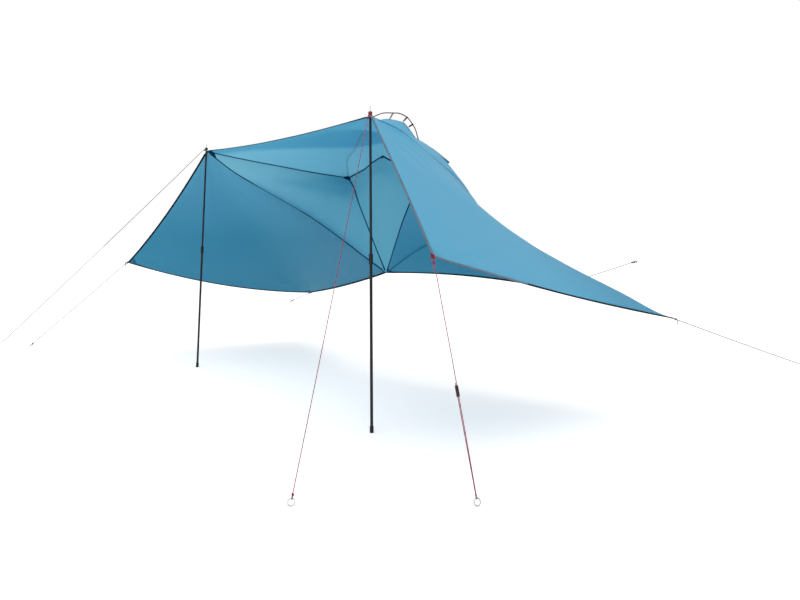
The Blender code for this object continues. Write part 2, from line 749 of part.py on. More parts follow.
def hoop_line():
    half = [np.array((x, HOOP_Y, z)) for x, z in HOOP_RIGHT] + [np.array(HOOP_END)]
    mirror = [p * (-1, 1, 1) for p in reversed(half[1:])]
    return smooth_curve([*mirror, *half], 40) + (HOOP_CENTRE_X, 0, 0)


def nearest(line, x):
    return min(line, key=lambda p: abs(p[0] - x))


def make_hoop(line):
    rod = hoop_line()
    tube("hoop_rod", rod, HOOP_ROD_RADIUS, ROD, 1)
    for name, end, inner in (("left", rod[0], rod[1]), ("right", rod[-1], rod[-2])):
        out = unit(end - inner)
        near_end = end + out * TOUCH_GAP
        tube("hoop_tip_" + name, [near_end, near_end + out * HOOP_TIP_LENGTH], HOOP_TIP_RADIUS, BLACK_PLASTIC)
    fine_rod = smooth_curve(rod, 400)
    fine_crest = smooth_curve(line["crest"], 400)
    for name, side in (("left", -1), ("right", 1)):
        for k, x in enumerate(HOOP_TIE_X):
            above = nearest(fine_rod, HOOP_CENTRE_X + side * x)
            below = min(fine_crest, key=lambda p: np.linalg.norm(p - above))
            way = unit(below - above)
            start = above + way * (HOOP_ROD_RADIUS + TOUCH_GAP + 0.0002)
            end = below - way * (TRIM_RADIUS + TOUCH_GAP + 0.0004)
            tube("hoop_tie_" + name + "_" + str(k + 1), [start, end], HOOP_TIE_RADIUS, RED, 1)


# Cords


def cord(name, points, finish):
    return tube(name, points, CORD_RADIUS, finish, 2)


def hanging(start, end, sag=0.004, count=5):
    """Points between the ends of a taut line, which hangs a little."""
    return list(sagging(start, end, sag * np.linalg.norm(end - start), count))[1:-1]


def ground_ring(name, anchor, start):
    """A steel ring at a guy line's lower end, standing in the line's direction on the ground."""
    ground = np.array((*anchor, 0.0))
    way = unit(start - ground)
    level = unit((-way[1], way[0], 0.0))
    normal = np.cross(way, level)
    centre = ground + way * GROUND_RING_RADIUS
    centre[2] = way[2] * GROUND_RING_RADIUS + GROUND_WIRE_RADIUS
    ring("ground_ring_" + name, centre, normal, GROUND_RING_RADIUS, GROUND_WIRE_RADIUS, STEEL)
    bar = centre + way * GROUND_RING_RADIUS
    return bar, unit(start - bar), normal


def hook(name, eye, way, side):
    """An open hook bent from one rod, whose eye's near side is at eye and which points away along -way."""
    across = np.cross(way, side)
    centre = eye - way * HOOK_EYE
    points = []
    for k in range(13):
        turn = math.radians(-135 + 23.75 * k)
        points.append(centre + (way * math.cos(turn) + across * math.sin(turn)) * HOOK_EYE)
    bend = centre - way * (HOOK_EYE + HOOK_SHANK) - across * 0.003
    points.append(centre - way * (HOOK_EYE + 0.006) - across * 0.003)
    points.append(bend)
    for k in range(1, 9):
        turn = math.radians(25 * k)
        offset = across * (HOOK_BEND - HOOK_BEND * math.cos(turn)) - way * HOOK_BEND * math.sin(turn)
        points.append(bend + offset)
    return tube("hook_" + name, points, HOOK_RADIUS, BLACK_PLASTIC, 2)


def pole_guy(name, side, anchor, finish):
    """A guy line from its loop on the spike of a pole to its ring on the ground."""
    frame, length = pole_frame(side)
    axis = np.array(frame.to_3x3() @ Vector((0, 0, 1)))
    head = np.array(frame @ Vector((0, 0, length + PATCH_HEIGHT / 2 + TOUCH_GAP + CORD_RADIUS)))
    towards = np.array((*anchor, 0.0)) - head
    way = unit(towards - (towards @ axis) * axis)
    across = np.cross(axis, way)
    loop = tied_end(head, way, across, SPIKE_RADIUS)
    leave = loop[-1] + unit(way + unit(towards)) * 0.008
    bar, back, normal = ground_ring(name, anchor, leave)
    foot = tied_end(bar, back, normal, GROUND_WIRE_RADIUS)
    cord("guy_" + name, [*loop, leave, *hanging(leave, foot[0]), *foot], finish)


def corner_cord(name, place, bisector, normal, goal, make_end, tail=True):
    """The web tab at a corner and the cord points that start in it; make_end gives the lower end's."""
    pull = unit(np.array(goal) - place)
    outward, across = tab_directions(bisector, normal, pull)
    tab("tab_" + name, place, outward, normal)
    start, leave = tied_start(place, outward, across, pull, tail)
    foot = make_end(leave)
    return [*start, *hanging(leave, foot[0]), *foot]


def to_ground(name, anchor):
    def make_end(leave):
        bar, back, normal = ground_ring(name, anchor, leave)
        return tied_end(bar, back, normal, GROUND_WIRE_RADIUS)
    return make_end


def to_hook(name, place):
    def make_end(leave):
        way = unit(leave - np.array(place))
        side = unit(np.cross(way, (0, 0, 1)))
        hook(name, np.array(place), way, side)
        return tied_end(np.array(place), way, side, HOOK_RADIUS)
    return make_end


def to_tensioner(name, anchor):
    """The lower end passes through the tensioner, round the ring and back up into the tensioner."""
    def make_end(leave):
        bar, back, normal = ground_ring(name, anchor, leave)
        length = np.linalg.norm(leave - bar)
        middle = length * (1 - TENSIONER_ALONG)
        spread = STRAND_SPACING / 2
        centre = bar + back * middle
        make_tensioner(centre, back, normal)
        foot = tied_end(bar, back, normal, GROUND_WIRE_RADIUS)
        reach = TENSIONER_SIZE[2] / 2
        way = back * (reach + STRAIGHT_RUN)
        down = [centre + way + normal * spread, centre - way + normal * spread]
        up = [centre - way - normal * spread, centre + back * (reach + STRAND_END) - normal * spread]
        return [*down, *foot, *up]
    return make_end


def make_tensioner(centre, way, side):
    """A flat slider with a hole for each of the line's two strands."""
    bpy.ops.mesh.primitive_cube_add(size=1)
    block = bpy.context.object
    block.name = block.data.name = "tensioner"
    for owner in list(block.users_collection):
        owner.objects.unlink(block)
    PARTS.objects.link(block)
    block.data.materials.append(BLACK_PLASTIC)
    block.data.transform(Matrix.Diagonal((*TENSIONER_SIZE, 1)))
    across = np.cross(side, way)
    frame = Matrix((side, across, way)).transposed().to_4x4()
    frame.translation = Vector(centre)
    block.matrix_world = frame
    edge = block.modifiers.new("edges", "BEVEL")
    edge.width = 0.0015
    edge.segments = 2
    for k, sign in enumerate((-1, 1)):
        bpy.ops.mesh.primitive_cylinder_add(radius=CORD_RADIUS + SLIDING_GAP, depth=0.1, vertices=20)
        hole = bpy.context.object
        hole.name = "tensioner_hole_" + str(k)
        hole.matrix_world = frame @ Matrix.Translation((sign * STRAND_SPACING / 2, 0, 0))
        for owner in list(hole.users_collection):
            owner.objects.unlink(hole)
        CUTTERS.objects.link(hole)
        cut(block, hole)


def make_cords(corner, line, directions):
    for k, name in enumerate(("left", "right")):
        pole_guy("pole_" + name, 2 * k - 1, ANCHOR_POLE[k], (PALE_CORD, RED_CORD)[k])
    left, left_normal = directions["wing_left"]
    points = corner_cord("wing_left", corner["wing"][0], left, left_normal, (*ANCHOR_WING[0], 0),
                         to_ground("wing_left", ANCHOR_WING[0]))
    cord("guy_wing_left", points, PALE_CORD)
    right, right_normal = directions["wing_right"]
    points = corner_cord("wing_right", corner["wing"][1], right, right_normal, (*ANCHOR_WING[1], 0),
                         to_tensioner("wing_right", ANCHOR_WING[1]))
    cord("guy_wing_right", points, RED_CORD)
    far, far_normal = directions["tail_right"]
    points = corner_cord("tail_right", corner["tail"][1], far, far_normal, (*ANCHOR_TAIL, 0),
                         to_ground("tail_right", ANCHOR_TAIL))
    cord("guy_tail_right", points, RED_CORD)
    near, near_normal = directions["tail_left"]
    points = corner_cord("tail_left", corner["tail"][0], near, near_normal, HOOK_LEFT,
                         to_hook("tail_left", HOOK_LEFT))
    cord("tie_tail_left", points, RED_CORD)
    hem = line["rear_right"]
    place = (hem[REAR_TIE_AT] + hem[REAR_TIE_AT + 1]) / 2
    outward = unit(np.cross(directions["rear_tie"], hem[REAR_TIE_AT] - hem[REAR_TIE_AT + 1]))
    if outward[1] < 0:
        outward = -outward
    points = corner_cord("rear_right", place, outward, directions["rear_tie"], HOOK_RIGHT,
                         to_hook("rear_right", HOOK_RIGHT), tail=False)
    cord("tie_rear_right", points, RED_CORD)


def main():
    corner, line = canopy_lines()
    directions = make_canopy(corner, line)
    make_trim(line)
    for k, name in enumerate(("left", "right")):
        make_pole(name, 2 * k - 1)
    make_hoop(line)
    make_cords(corner, line, directions)


remove_everything()
PARTS = collection("car_tent")
CUTTERS = collection("cutters")
OUTER_CLOTH = material("tent_cloth", (0.10, 0.38, 0.58), 0.6)
SEAM = material("seam_tape", (0.01, 0.09, 0.20), 0.6)
BINDING = material("edge_binding", (0.05, 0.12, 0.18), 0.7)
BLACK_STEEL = material("black_steel", (0.012, 0.012, 0.013), 0.35, 0.6)
BLACK_RUBBER = material("black_rubber", (0.02, 0.02, 0.02), 0.8)
BLACK_PLASTIC = material("black_plastic", (0.015, 0.014, 0.014), 0.45)
RED_PLASTIC = material("red_plastic", (0.30, 0.02, 0.04), 0.4)
RED = material("red_web", (0.35, 0.03, 0.05), 0.7)
ROD = material("hoop_rod", (0.08, 0.05, 0.04), 0.4)
STEEL = material("steel", (0.55, 0.55, 0.55), 0.35, 1.0)
RED_CORD = material("red_cord", (0.55, 0.04, 0.10), 0.7)
PALE_CORD = material("pale_cord", (0.45, 0.28, 0.28), 0.7)
main()
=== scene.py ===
import math

import bpy
import numpy as np
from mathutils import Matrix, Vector
from mathutils.bvhtree import BVHTree
from mathutils.noise import noise


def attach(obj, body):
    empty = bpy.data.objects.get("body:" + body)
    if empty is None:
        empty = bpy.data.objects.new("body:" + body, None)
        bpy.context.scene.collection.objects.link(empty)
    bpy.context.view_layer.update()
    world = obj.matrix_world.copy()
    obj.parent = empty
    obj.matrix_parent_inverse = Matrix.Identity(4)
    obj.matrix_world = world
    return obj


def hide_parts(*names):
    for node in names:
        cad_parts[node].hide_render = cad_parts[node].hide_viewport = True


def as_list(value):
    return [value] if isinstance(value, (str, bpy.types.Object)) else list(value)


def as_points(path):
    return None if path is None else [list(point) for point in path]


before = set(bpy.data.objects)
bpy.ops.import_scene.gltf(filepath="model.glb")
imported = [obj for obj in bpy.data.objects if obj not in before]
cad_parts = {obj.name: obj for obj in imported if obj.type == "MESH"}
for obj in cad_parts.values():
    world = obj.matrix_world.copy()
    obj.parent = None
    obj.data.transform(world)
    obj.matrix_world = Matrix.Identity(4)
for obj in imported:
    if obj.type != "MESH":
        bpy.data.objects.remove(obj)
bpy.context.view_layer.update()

# Sizes that part.py gives the canopy. Each pair is the left and the right height of mirrored points.
POLE_LINE_Y = -0.63
HALF_SPAN = 1.37
POLE_TOP_Z = 2.0
WING_HALF_WIDTH = 2.542
WING_FRONT_Y = -1.024
WING_FRONT_Z = (0.954, 1.148)
TAIL_HALF_WIDTH = 2.442
TAIL_Y = 1.022
TAIL_Z = (0.565, 0.707)
PEAK_HALF_WIDTH = 0.755
PEAK_Y = 0.505
PEAK_Z = (1.763, 1.807)
REAR_TOP = (0.385, 1.903)
REAR_BASE = (0.414, 0.914)
FRONT_HEM_SAG = 0.033
WING_EDGE_SAG = (0.06, -0.015)
WING_BASE_SAG = (0.075, 0.022)
REAR_HEM_SAG = (0.02, -0.085)
RIDGE_SAG = 0.12
ROOF_SAG = (0.012, -0.029)
GABLE_BILLOW = (0.08, 0.134)
WING_BILLOW = 0.08
REAR_SIDE_BOW = ((0.4914, 0.392, 1.49), (0.7417, 0.448, 1.655))
REAR_TOP_BOW = ((0.2013, 0.372, 1.853), (0.4636, 0.425, 1.815))
GABLE_BOW_LEFT = ((0.4204, 0.147, 1.31), (0.6212, 0.035, 1.462), (0.9409, -0.303, 1.759))
GABLE_LOW_RIGHT = (0.3796, 0.38, 1.13)
GABLE_HIGH_RIGHT = (0.986, -0.254, 1.856)
FOLD_AT_SEAM = (0.7263, 0.606, 1.412)
FOLD_AT_HEM = 0.4
FRONT_STRUT_SAG = 0.044
REAR_STRUT_SAG = -0.059
FOLD_BILLOW = -0.014
CREST_RIGHT = ((0.0, 2.212), (0.094, 2.199), (0.223, 2.169), (0.299, 2.145), (0.398, 2.065), (0.471, 2.0),
               (0.6, 1.915))
CREST_Y = 0.40
HOOD_ROWS = 12
SHEET_PARTS = 48
COARSE_PARTS = 12
FINE_PARTS = 480
SOFTENING_ROUNDS = 32
COARSE_ROUNDS = 2
SHEET_WALL = 0.0008
INSIDE_POINT = (0.0, -0.2, 0.9)

# The camera, fitted to the photograph at 800 x 600.
CAMERA_PLACE = (5.706, -3.443, 1.28)
CAMERA_DOWN = 4.963
CAMERA_TURN = 54.944
CAMERA_FOCAL_PX = 804.5
IMAGE_WIDTH_PX = 800

# The light that the thin cloth lets through, and the roof's fold line, where its painted shade gives way to
# painted light, as a height and its rise along y.
THROUGH = (0.45, 0.82, 0.93)
PAINTED_LIGHT_EDGE = (1.992, 0.05)
RIPSTOP = 0.006
STITCH_STEP = 0.0035
RIB_STEP = 0.0012
BRAID_STEP = 0.006
MARK_STEP = 0.042

# Poles and fittings, as in part.py.
FOOT_OUT = 0.13
FOOT_FORWARD = 0.081
TOUCH_GAP = 0.0003
SPIKE_RADIUS = 0.003
PATCH_HEIGHT = 0.0024
TAB_WIDTH = 0.016
TAB_REACH = 0.0075
CORD_RADIUS = 0.002
GROUND_RING_RADIUS = 0.018
GROUND_WIRE_RADIUS = 0.003
STRAND_SPACING = 0.009
ANCHOR_POLE = ((-2.93, -2.34), (2.431, -1.767))
ANCHOR_WING = ((-3.89, -1.72), (2.932, -1.054))
ANCHOR_TAIL = (2.75, 3.30)
KNOT_REACH = 0.024
KNOT_DEPTH = 0.006
KNOT_TURNS = 3
KNOT_SPREAD = 0.0042
STRAIGHT_RUN = 0.15
STRAND_END = 0.012
TENSIONER_ALONG = 0.56
TENSIONER_LENGTH = 0.055
HOOK_RADIUS = 0.003
HOOK_LEFT = (-2.665, 0.899, 0.464)
HOOK_RIGHT = (1.6, 1.674, 1.031)
REAR_TIE_AT = 5
TAB_WALL = 0.0012
TAB_HALF_GAP = 0.0026
PATCH_RADIUS = 0.0176
HOOP_Y = 0.43
HOOP_CENTRE_X = -0.075
HOOP_ROD_RADIUS = 0.0045
HOOP_TIE_X = (0.16, 0.36, 0.44)
HOOP_RIGHT = ((0.0, 2.271), (0.165, 2.253), (0.256, 2.239), (0.37, 2.191), (0.469, 2.099), (0.511, 2.016))
HOOP_END = (0.545, 0.46, 1.90)
FLOOR_HALF = 60


def unit(vector):
    return np.array(vector, dtype=float) / np.linalg.norm(vector)


def distances(points):
    """How far along the line each of its points is."""
    return np.concatenate([[0], np.cumsum(np.linalg.norm(np.diff(points, axis=0), axis=1))])


def direction(points, k):
    """The line's direction at a point, from the point before to the one after."""
    return unit(points[min(k + 1, len(points) - 1)] - points[max(k - 1, 0)])


def face_way(points, face):
    """The way a face looks, by its first three corners; not of unit length."""
    a, b, c = (points[i] for i in face[:3])
    return np.cross(b - a, c - a)


def edge_uses(faces):
    """How many faces use each edge."""
    uses = {}
    for face in faces:
        for a, b in zip(face, face[1:] + face[:1]):
            uses[min(a, b), max(a, b)] = uses.get((min(a, b), max(a, b)), 0) + 1
    return uses


def border(uses):
    """The points on the edges that only one face uses."""
    return sorted({p for pair, times in uses.items() if times == 1 for p in pair})


def mirrored(half):
    """A line from its middle point on, with its mirror image before it."""
    return [*(p * (-1, 1, 1) for p in reversed(half[1:])), *half]


def added(name, data):
    """A new object in the scene, with that data."""
    thing = bpy.data.objects.new(name, data)
    bpy.context.scene.collection.objects.link(thing)
    return thing


def mesh_object(name, points, faces, material):
    mesh = bpy.data.meshes.new(name)
    mesh.from_pydata([tuple(float(x) for x in p) for p in points], [], [tuple(f) for f in faces])
    mesh.materials.append(material)
    return added(name, mesh)


def make_camera():
    lens = bpy.data.cameras.new("camera")
    lens.sensor_width = 36.0
    lens.lens = 36.0 * CAMERA_FOCAL_PX / IMAGE_WIDTH_PX
    lens.clip_end = 200
    eye = added("camera", lens)
    eye.location = CAMERA_PLACE
    eye.rotation_euler = (math.radians(90 - CAMERA_DOWN), 0, math.radians(CAMERA_TURN))
    bpy.context.scene.camera = eye


# Material helpers


class Nodes:
    """A material's nodes, made and linked in short calls."""

    def __init__(self, name, roughness, metallic=0.0, sheen=0.0, specular=0.3):
        self.material = bpy.data.materials.new(name)
        self.material.use_nodes = True
        self.tree = self.material.node_tree
        self.shader = self.tree.nodes["Principled BSDF"]
        values = {"Roughness": roughness, "Metallic": metallic, "Specular IOR Level": specular,
                  "Sheen Weight": sheen}
        for key, value in values.items():
            self.shader.inputs[key].default_value = value

    def add(self, kind, **values):
        node = self.tree.nodes.new(kind)
        for key, value in values.items():
            if hasattr(node, key):
                setattr(node, key, value)
            else:
                node.inputs[key.replace("_", " ")].default_value = value
        return node

    def fill(self, socket, value):
        """Sets a socket to a number or a colour, or links another node's output to it."""
        if hasattr(value, "links"):
            self.tree.links.new(value, socket)
        elif isinstance(value, (int, float)):
            socket.default_value = value
        else:
            socket.default_value = (*value, 1)

    def made(self, kind, sockets, values, output, **settings):
        node = self.add(kind, **settings)
        for socket, value in zip(sockets, values):
            self.fill(node.inputs[socket], value)
        return node.outputs[output]

    def place(self):
        return self.add("ShaderNodeTexCoord").outputs["Object"]

    def split(self, source):
        node = self.add("ShaderNodeSeparateXYZ")
        self.fill(node.inputs[0], source)
        return node.outputs

    def uv(self):
        u, v, _ = self.split(self.add("ShaderNodeUVMap").outputs["UV"])
        return u, v

    def noise(self, scale, detail=3.0, vector=None, rough=0.55):
        return self.made("ShaderNodeTexNoise", ["Vector"], [vector or self.place()], "Fac",
                         Scale=scale, Detail=detail, Roughness=rough)

    def ramp(self, factor, *stops):
        """Two stops, each a position and a colour."""
        node = self.add("ShaderNodeValToRGB")
        for element, (position, colour) in zip(node.color_ramp.elements, stops):
            element.position = position
            element.color = (*colour, 1)
        self.fill(node.inputs["Fac"], factor)
        return node.outputs["Color"]

    def mix(self, factor, first, second):
        return self.made("ShaderNodeMix", (0, 6, 7), (factor, first, second), 2, data_type="RGBA")

    def math(self, operation, *values):
        return self.made("ShaderNodeMath", range(3), values, 0, operation=operation)

    def clamped(self, value):
        return self.math("MINIMUM", self.math("MAXIMUM", value, 0.0), 1.0)

    def wave(self, value, step):
        return self.math("SINE", self.math("MULTIPLY", value, 2 * math.pi / step))

    def set(self, socket, source):
        self.fill(self.shader.inputs[socket], source)

    def bump(self, height, strength=0.3, distance=0.001):
        node = self.add("ShaderNodeBump", Strength=strength, Distance=distance)
        self.fill(node.inputs["Height"], height)
        before = self.shader.inputs["Normal"].links
        if before:
            self.fill(node.inputs["Normal"], before[0].from_socket)
        self.set("Normal", node.outputs["Normal"])

    def surface(self, kind, share, *shaders):
        """Gives the material a mix or a sum of shaders as its surface."""
        both = self.add(kind)
        for socket, value in zip(both.inputs, (*share, *shaders)):
            self.fill(socket, value)
        self.fill(self.tree.nodes["Material Output"].inputs["Surface"], both.outputs[0])

    def translucent(self, colour, share):
        """Lets light through: share of the surface shows the light behind it, in that colour."""
        through = self.made("ShaderNodeBsdfTranslucent", ["Color"], [colour], 0)
        self.surface("ShaderNodeMixShader", [share], self.shader.outputs[0], through)


def painted_light_behind_fold(m, place):
    """Painted light mask: 0 on the roof's front part, painted as shade, and 1 below the line where it turns
    down to the seams, painted lit.
    """
    _, y, z = m.split(place)
    height, rise = PAINTED_LIGHT_EDGE
    below = m.math("SUBTRACT", m.math("MULTIPLY_ADD", y, rise, height), z)
    return m.clamped(m.math("MULTIPLY_ADD", below, 45.0, 0.5))


def slope(m, place, axis, start, end):
    """0 before start and 1 after end along an axis."""
    across = end - start
    return m.clamped(m.math("MULTIPLY_ADD", m.split(place)[axis], 1 / across, -start / across))


def cloth_material(name, base, deep, share, front=None, painted_shading=None):
    """Thin coated polyester: fine ripstop squares, broad soft creases and a slight gloss.

    front is painted shade on the roof's part before the fold line, where the base colour behind it is painted
    light; painted_shading is a painted light or shade ramp, given as (axis, start, end, colour at the end)."""
    m = Nodes(name, 0.5, sheen=0.04, specular=0.22)
    place = m.place()
    broad = m.noise(1.3, 3.0, place)
    tone = m.ramp(broad, (0.3, deep), (0.7, base))
    # Painted shade on the roof's front part and painted light behind its fold line.
    if front:
        tone = m.mix(painted_light_behind_fold(m, place), front, tone)
    # Painted light or shade that ramps in along one axis.
    if painted_shading:
        *span, other = painted_shading
        tone = m.mix(slope(m, place, *span), tone, other)
    m.set("Base Color", m.mix(m.math("MULTIPLY", m.noise(38.0, 2.0, place), 0.16), tone, deep))
    m.set("Roughness", m.math("MULTIPLY_ADD", broad, 0.2, 0.42))
    lines = [m.math("GREATER_THAN", m.wave(axis, RIPSTOP), 0.93) for axis in m.split(place)]
    weave = m.math("MAXIMUM", lines[0], m.math("MAXIMUM", lines[1], lines[2]))
    m.bump(m.noise(5.5, 5.0, place, 0.6), 0.5, 0.02)
    m.bump(weave, 0.2, 0.0002)
    m.translucent(THROUGH, share)
    return m.material


def tape_material(name, base, stitch, through=None):
    """Woven tape with two rows of stitches; u runs along it in metres and v across it from 0 to 1."""
    m = Nodes(name, 0.85, sheen=0.02, specular=0.1)
    along, across = m.uv()
    dash = m.math("GREATER_THAN", m.math("FRACT", m.math("MULTIPLY", along, 1 / STITCH_STEP)), 0.3)
    rows = []
    for row in (0.2, 0.8):
        near = m.math("LESS_THAN", m.math("ABSOLUTE", m.math("SUBTRACT", across, row)), 0.045)
        rows.append(m.math("MULTIPLY", near, dash))
    stitches = m.math("MAXIMUM", *rows)
    ground = m.ramp(m.noise(60.0), (0.3, tuple(0.6 * c for c in base)), (0.75, base))
    m.set("Base Color", m.mix(stitches, ground, stitch))
    m.bump(m.wave(along, RIB_STEP), 0.2, 0.0002)
    m.bump(stitches, 0.5, 0.0004)
    if through:
        m.translucent(through, 0.5)
    return m.material


def cord_material(name, base, fleck, dark):
    """Braided cord with flecks along it; u runs along it in metres and v round it."""
    m = Nodes(name, 0.8, sheen=0.05, specular=0.15)
    along, around = m.uv()
    turn = m.math("MULTIPLY", along, 1 / BRAID_STEP)
    round_it = m.math("MULTIPLY", around, 4.0)
    right, left = (m.wave(m.math(way, round_it, turn), 1) for way in ("ADD", "SUBTRACT"))
    braid = m.math("MAXIMUM", right, left)
    ground = m.mix(m.math("MULTIPLY_ADD", braid, 0.25, 0.25), base, fleck)
    beat = m.math("FRACT", m.math("MULTIPLY", along, 1 / MARK_STEP))
    mark = m.math("MULTIPLY", m.math("GREATER_THAN", beat, 0.55), m.math("GREATER_THAN", right, -0.35))
    m.set("Base Color", m.mix(m.math("MULTIPLY", mark, 0.85), ground, dark))
    m.bump(braid, 0.5, 0.0006)
    return m.material


def painted_material(name, base, worn, roughness, metallic=0.0):
    """Coated metal or moulded plastic with faint scuffs and a fine grain."""
    m = Nodes(name, roughness, metallic)
    m.set("Base Color", m.ramp(m.noise(22.0, 6.0, None, 0.7), (0.45, base), (0.8, worn)))
    m.set("Roughness", m.math("MULTIPLY_ADD", m.noise(9.0), 0.3, roughness - 0.12))
    m.bump(m.noise(900.0, 2.0), 0.12, 0.0002)
    return m.material


# Canopy lines and patches, as in part.py but finer


def read_at(places, along, line):
    """The line's points at those places, where along says how far each given point is."""
    return np.stack([np.interp(places, along, axis) for axis in np.array(line).T], axis=1)


def smooth_curve(points, count):
    """A smooth curve through the points, in count equally long parts."""
    given = [Vector(p) for p in points]
    ends = [2 * given[0] - given[1], *given, 2 * given[-1] - given[-2]]
    line = []
    for a, b, c, d in zip(ends, ends[1:], ends[2:], ends[3:]):
        for k in range(16):
            t = k / 16
            line.append(0.5 * ((2 * b) + (c - a) * t + (2 * a - 5 * b + 4 * c - d) * t ** 2
                               + (3 * b - a - 3 * c + d) * t ** 3))
    line.append(given[-1])
    along = distances(line)
    return read_at(np.linspace(0, along[-1], count + 1), along, line)


def sagging(start, end, sag, count=SHEET_PARTS):
    share = np.linspace(0, 1, count + 1)[:, None]
    line = np.array(start) + share * (np.array(end) - np.array(start))
    line[:, 2] -= 4 * sag * (share * (1 - share))[:, 0]
    return line


def ridge_line(start, end, sag, parts):
    line = sagging(start, end, 0, parts)
    share = np.linspace(0, 1, len(line))
    line[:, 2] -= sag * np.sin(math.pi * share) ** 1.5
    return line


def halved(line, middle, parts):
    """A finely drawn line with half of its parts before the given share of it."""
    half = parts // 2 + 1
    shares = np.concatenate([np.linspace(0, middle, half), np.linspace(middle, 1, half)[1:]])
    return read_at(shares * (len(line) - 1), np.arange(len(line)), line)


def bow(points, side, half_width):
    return [(side * x * half_width, y, z) for x, y, z in points]


def deviation(curve):
    share = np.linspace(0, 1, len(curve))[:, None]
    return curve - (curve[0] + share * (curve[-1] - curve[0]))


def triangle_faces(index, n):
    """The faces of a triangular net with n parts along each side, whose points index numbers."""
    faces = []
    for i in range(n):
        for j in range(n - i):
            faces.append((index[i, j], index[i, j + 1], index[i + 1, j]))
            if j < n - i - 1:
                faces.append((index[i, j + 1], index[i + 1, j + 1], index[i + 1, j]))
    return faces


def triangle_patch(ab, bc, ca, billow=0.0, fade=1.6):
    n = len(ab) - 1
    away = [deviation(curve) for curve in (ab, bc, ca)]
    a, b, c = ab[0], bc[0], ca[0]
    normal = unit(np.cross(b - a, c - a))
    points, index = [], {}
    for i in range(n + 1):
        for j in range(n + 1 - i):
            w, v = i / n, j / n
            u = 1 - v - w
            place = u * a + v * b + w * c + 27 * u * v * w * billow * normal
            for curve, first, second in ((away[0], u, v), (away[1], v, w), (away[2], w, u)):
                both = first + second
                if both > 1e-9:
                    at = second / both * n
                    low = min(int(at), n - 1)
                    place = place + (curve[low] + (at - low) * (curve[low + 1] - curve[low])) * both ** fade
            index[i, j] = len(points)
            points.append(place)
    return np.array(points), triangle_faces(index, n)


def grid_faces(rows, columns):
    first = [j * (columns + 1) + i for j in range(rows) for i in range(columns)]
    return [(k, k + 1, k + columns + 2, k + columns + 1) for k in first]


def grid_patch(bottom, top, left, right):
    n, m = len(bottom) - 1, len(left) - 1
    points = []
    for j in range(m + 1):
        v = j / m
        for i in range(n + 1):
            u = i / n
            place = (1 - v) * bottom[i] + v * top[i] + (1 - u) * left[j] + u * right[j]
            points.append(place - ((1 - u) * (1 - v) * bottom[0] + u * (1 - v) * bottom[-1]
                                   + (1 - u) * v * top[0] + u * v * top[-1]))
    return np.array(points), grid_faces(m, n)


def key_of(place):
    """The same key for the same place, whatever rounding error it has."""
    return tuple(np.round(place + 3.1e-6, 5))


def welded(patches):
    """Several patches as one sheet: points, faces, and for each face its patch's number."""
    points, faces, owner, place_of = [], [], [], {}
    for k, (spots, sides) in enumerate(patches):
        number = []
        for p in spots:
            key = key_of(p)
            if key not in place_of:
                place_of[key] = len(points)
                points.append(p)
            number.append(place_of[key])
        faces += [tuple(dict.fromkeys(number[i] for i in side)) for side in sides]
        owner += [k] * len(sides)
    return np.array(points), faces, owner


def softened(points, faces, rounds):
    """The patch with its inner points drawn towards their neighbours, so a fold becomes round."""
    uses = edge_uses(faces)
    pairs = np.array(list(uses))
    fixed = border(uses)
    count = np.zeros(len(points))
    np.add.at(count, pairs.ravel(), 1)
    for _ in range(rounds):
        total = np.zeros_like(points)
        np.add.at(total, pairs[:, 0], points[pairs[:, 1]])
        np.add.at(total, pairs[:, 1], points[pairs[:, 0]])
        moved = 0.5 * points + 0.5 * total / count[:, None]
        moved[fixed] = points[fixed]
        points = moved
    return points


def both_sides(half_width, y, heights):
    return [np.array((side * half_width, y, z)) for side, z in zip((-1, 1), heights)]


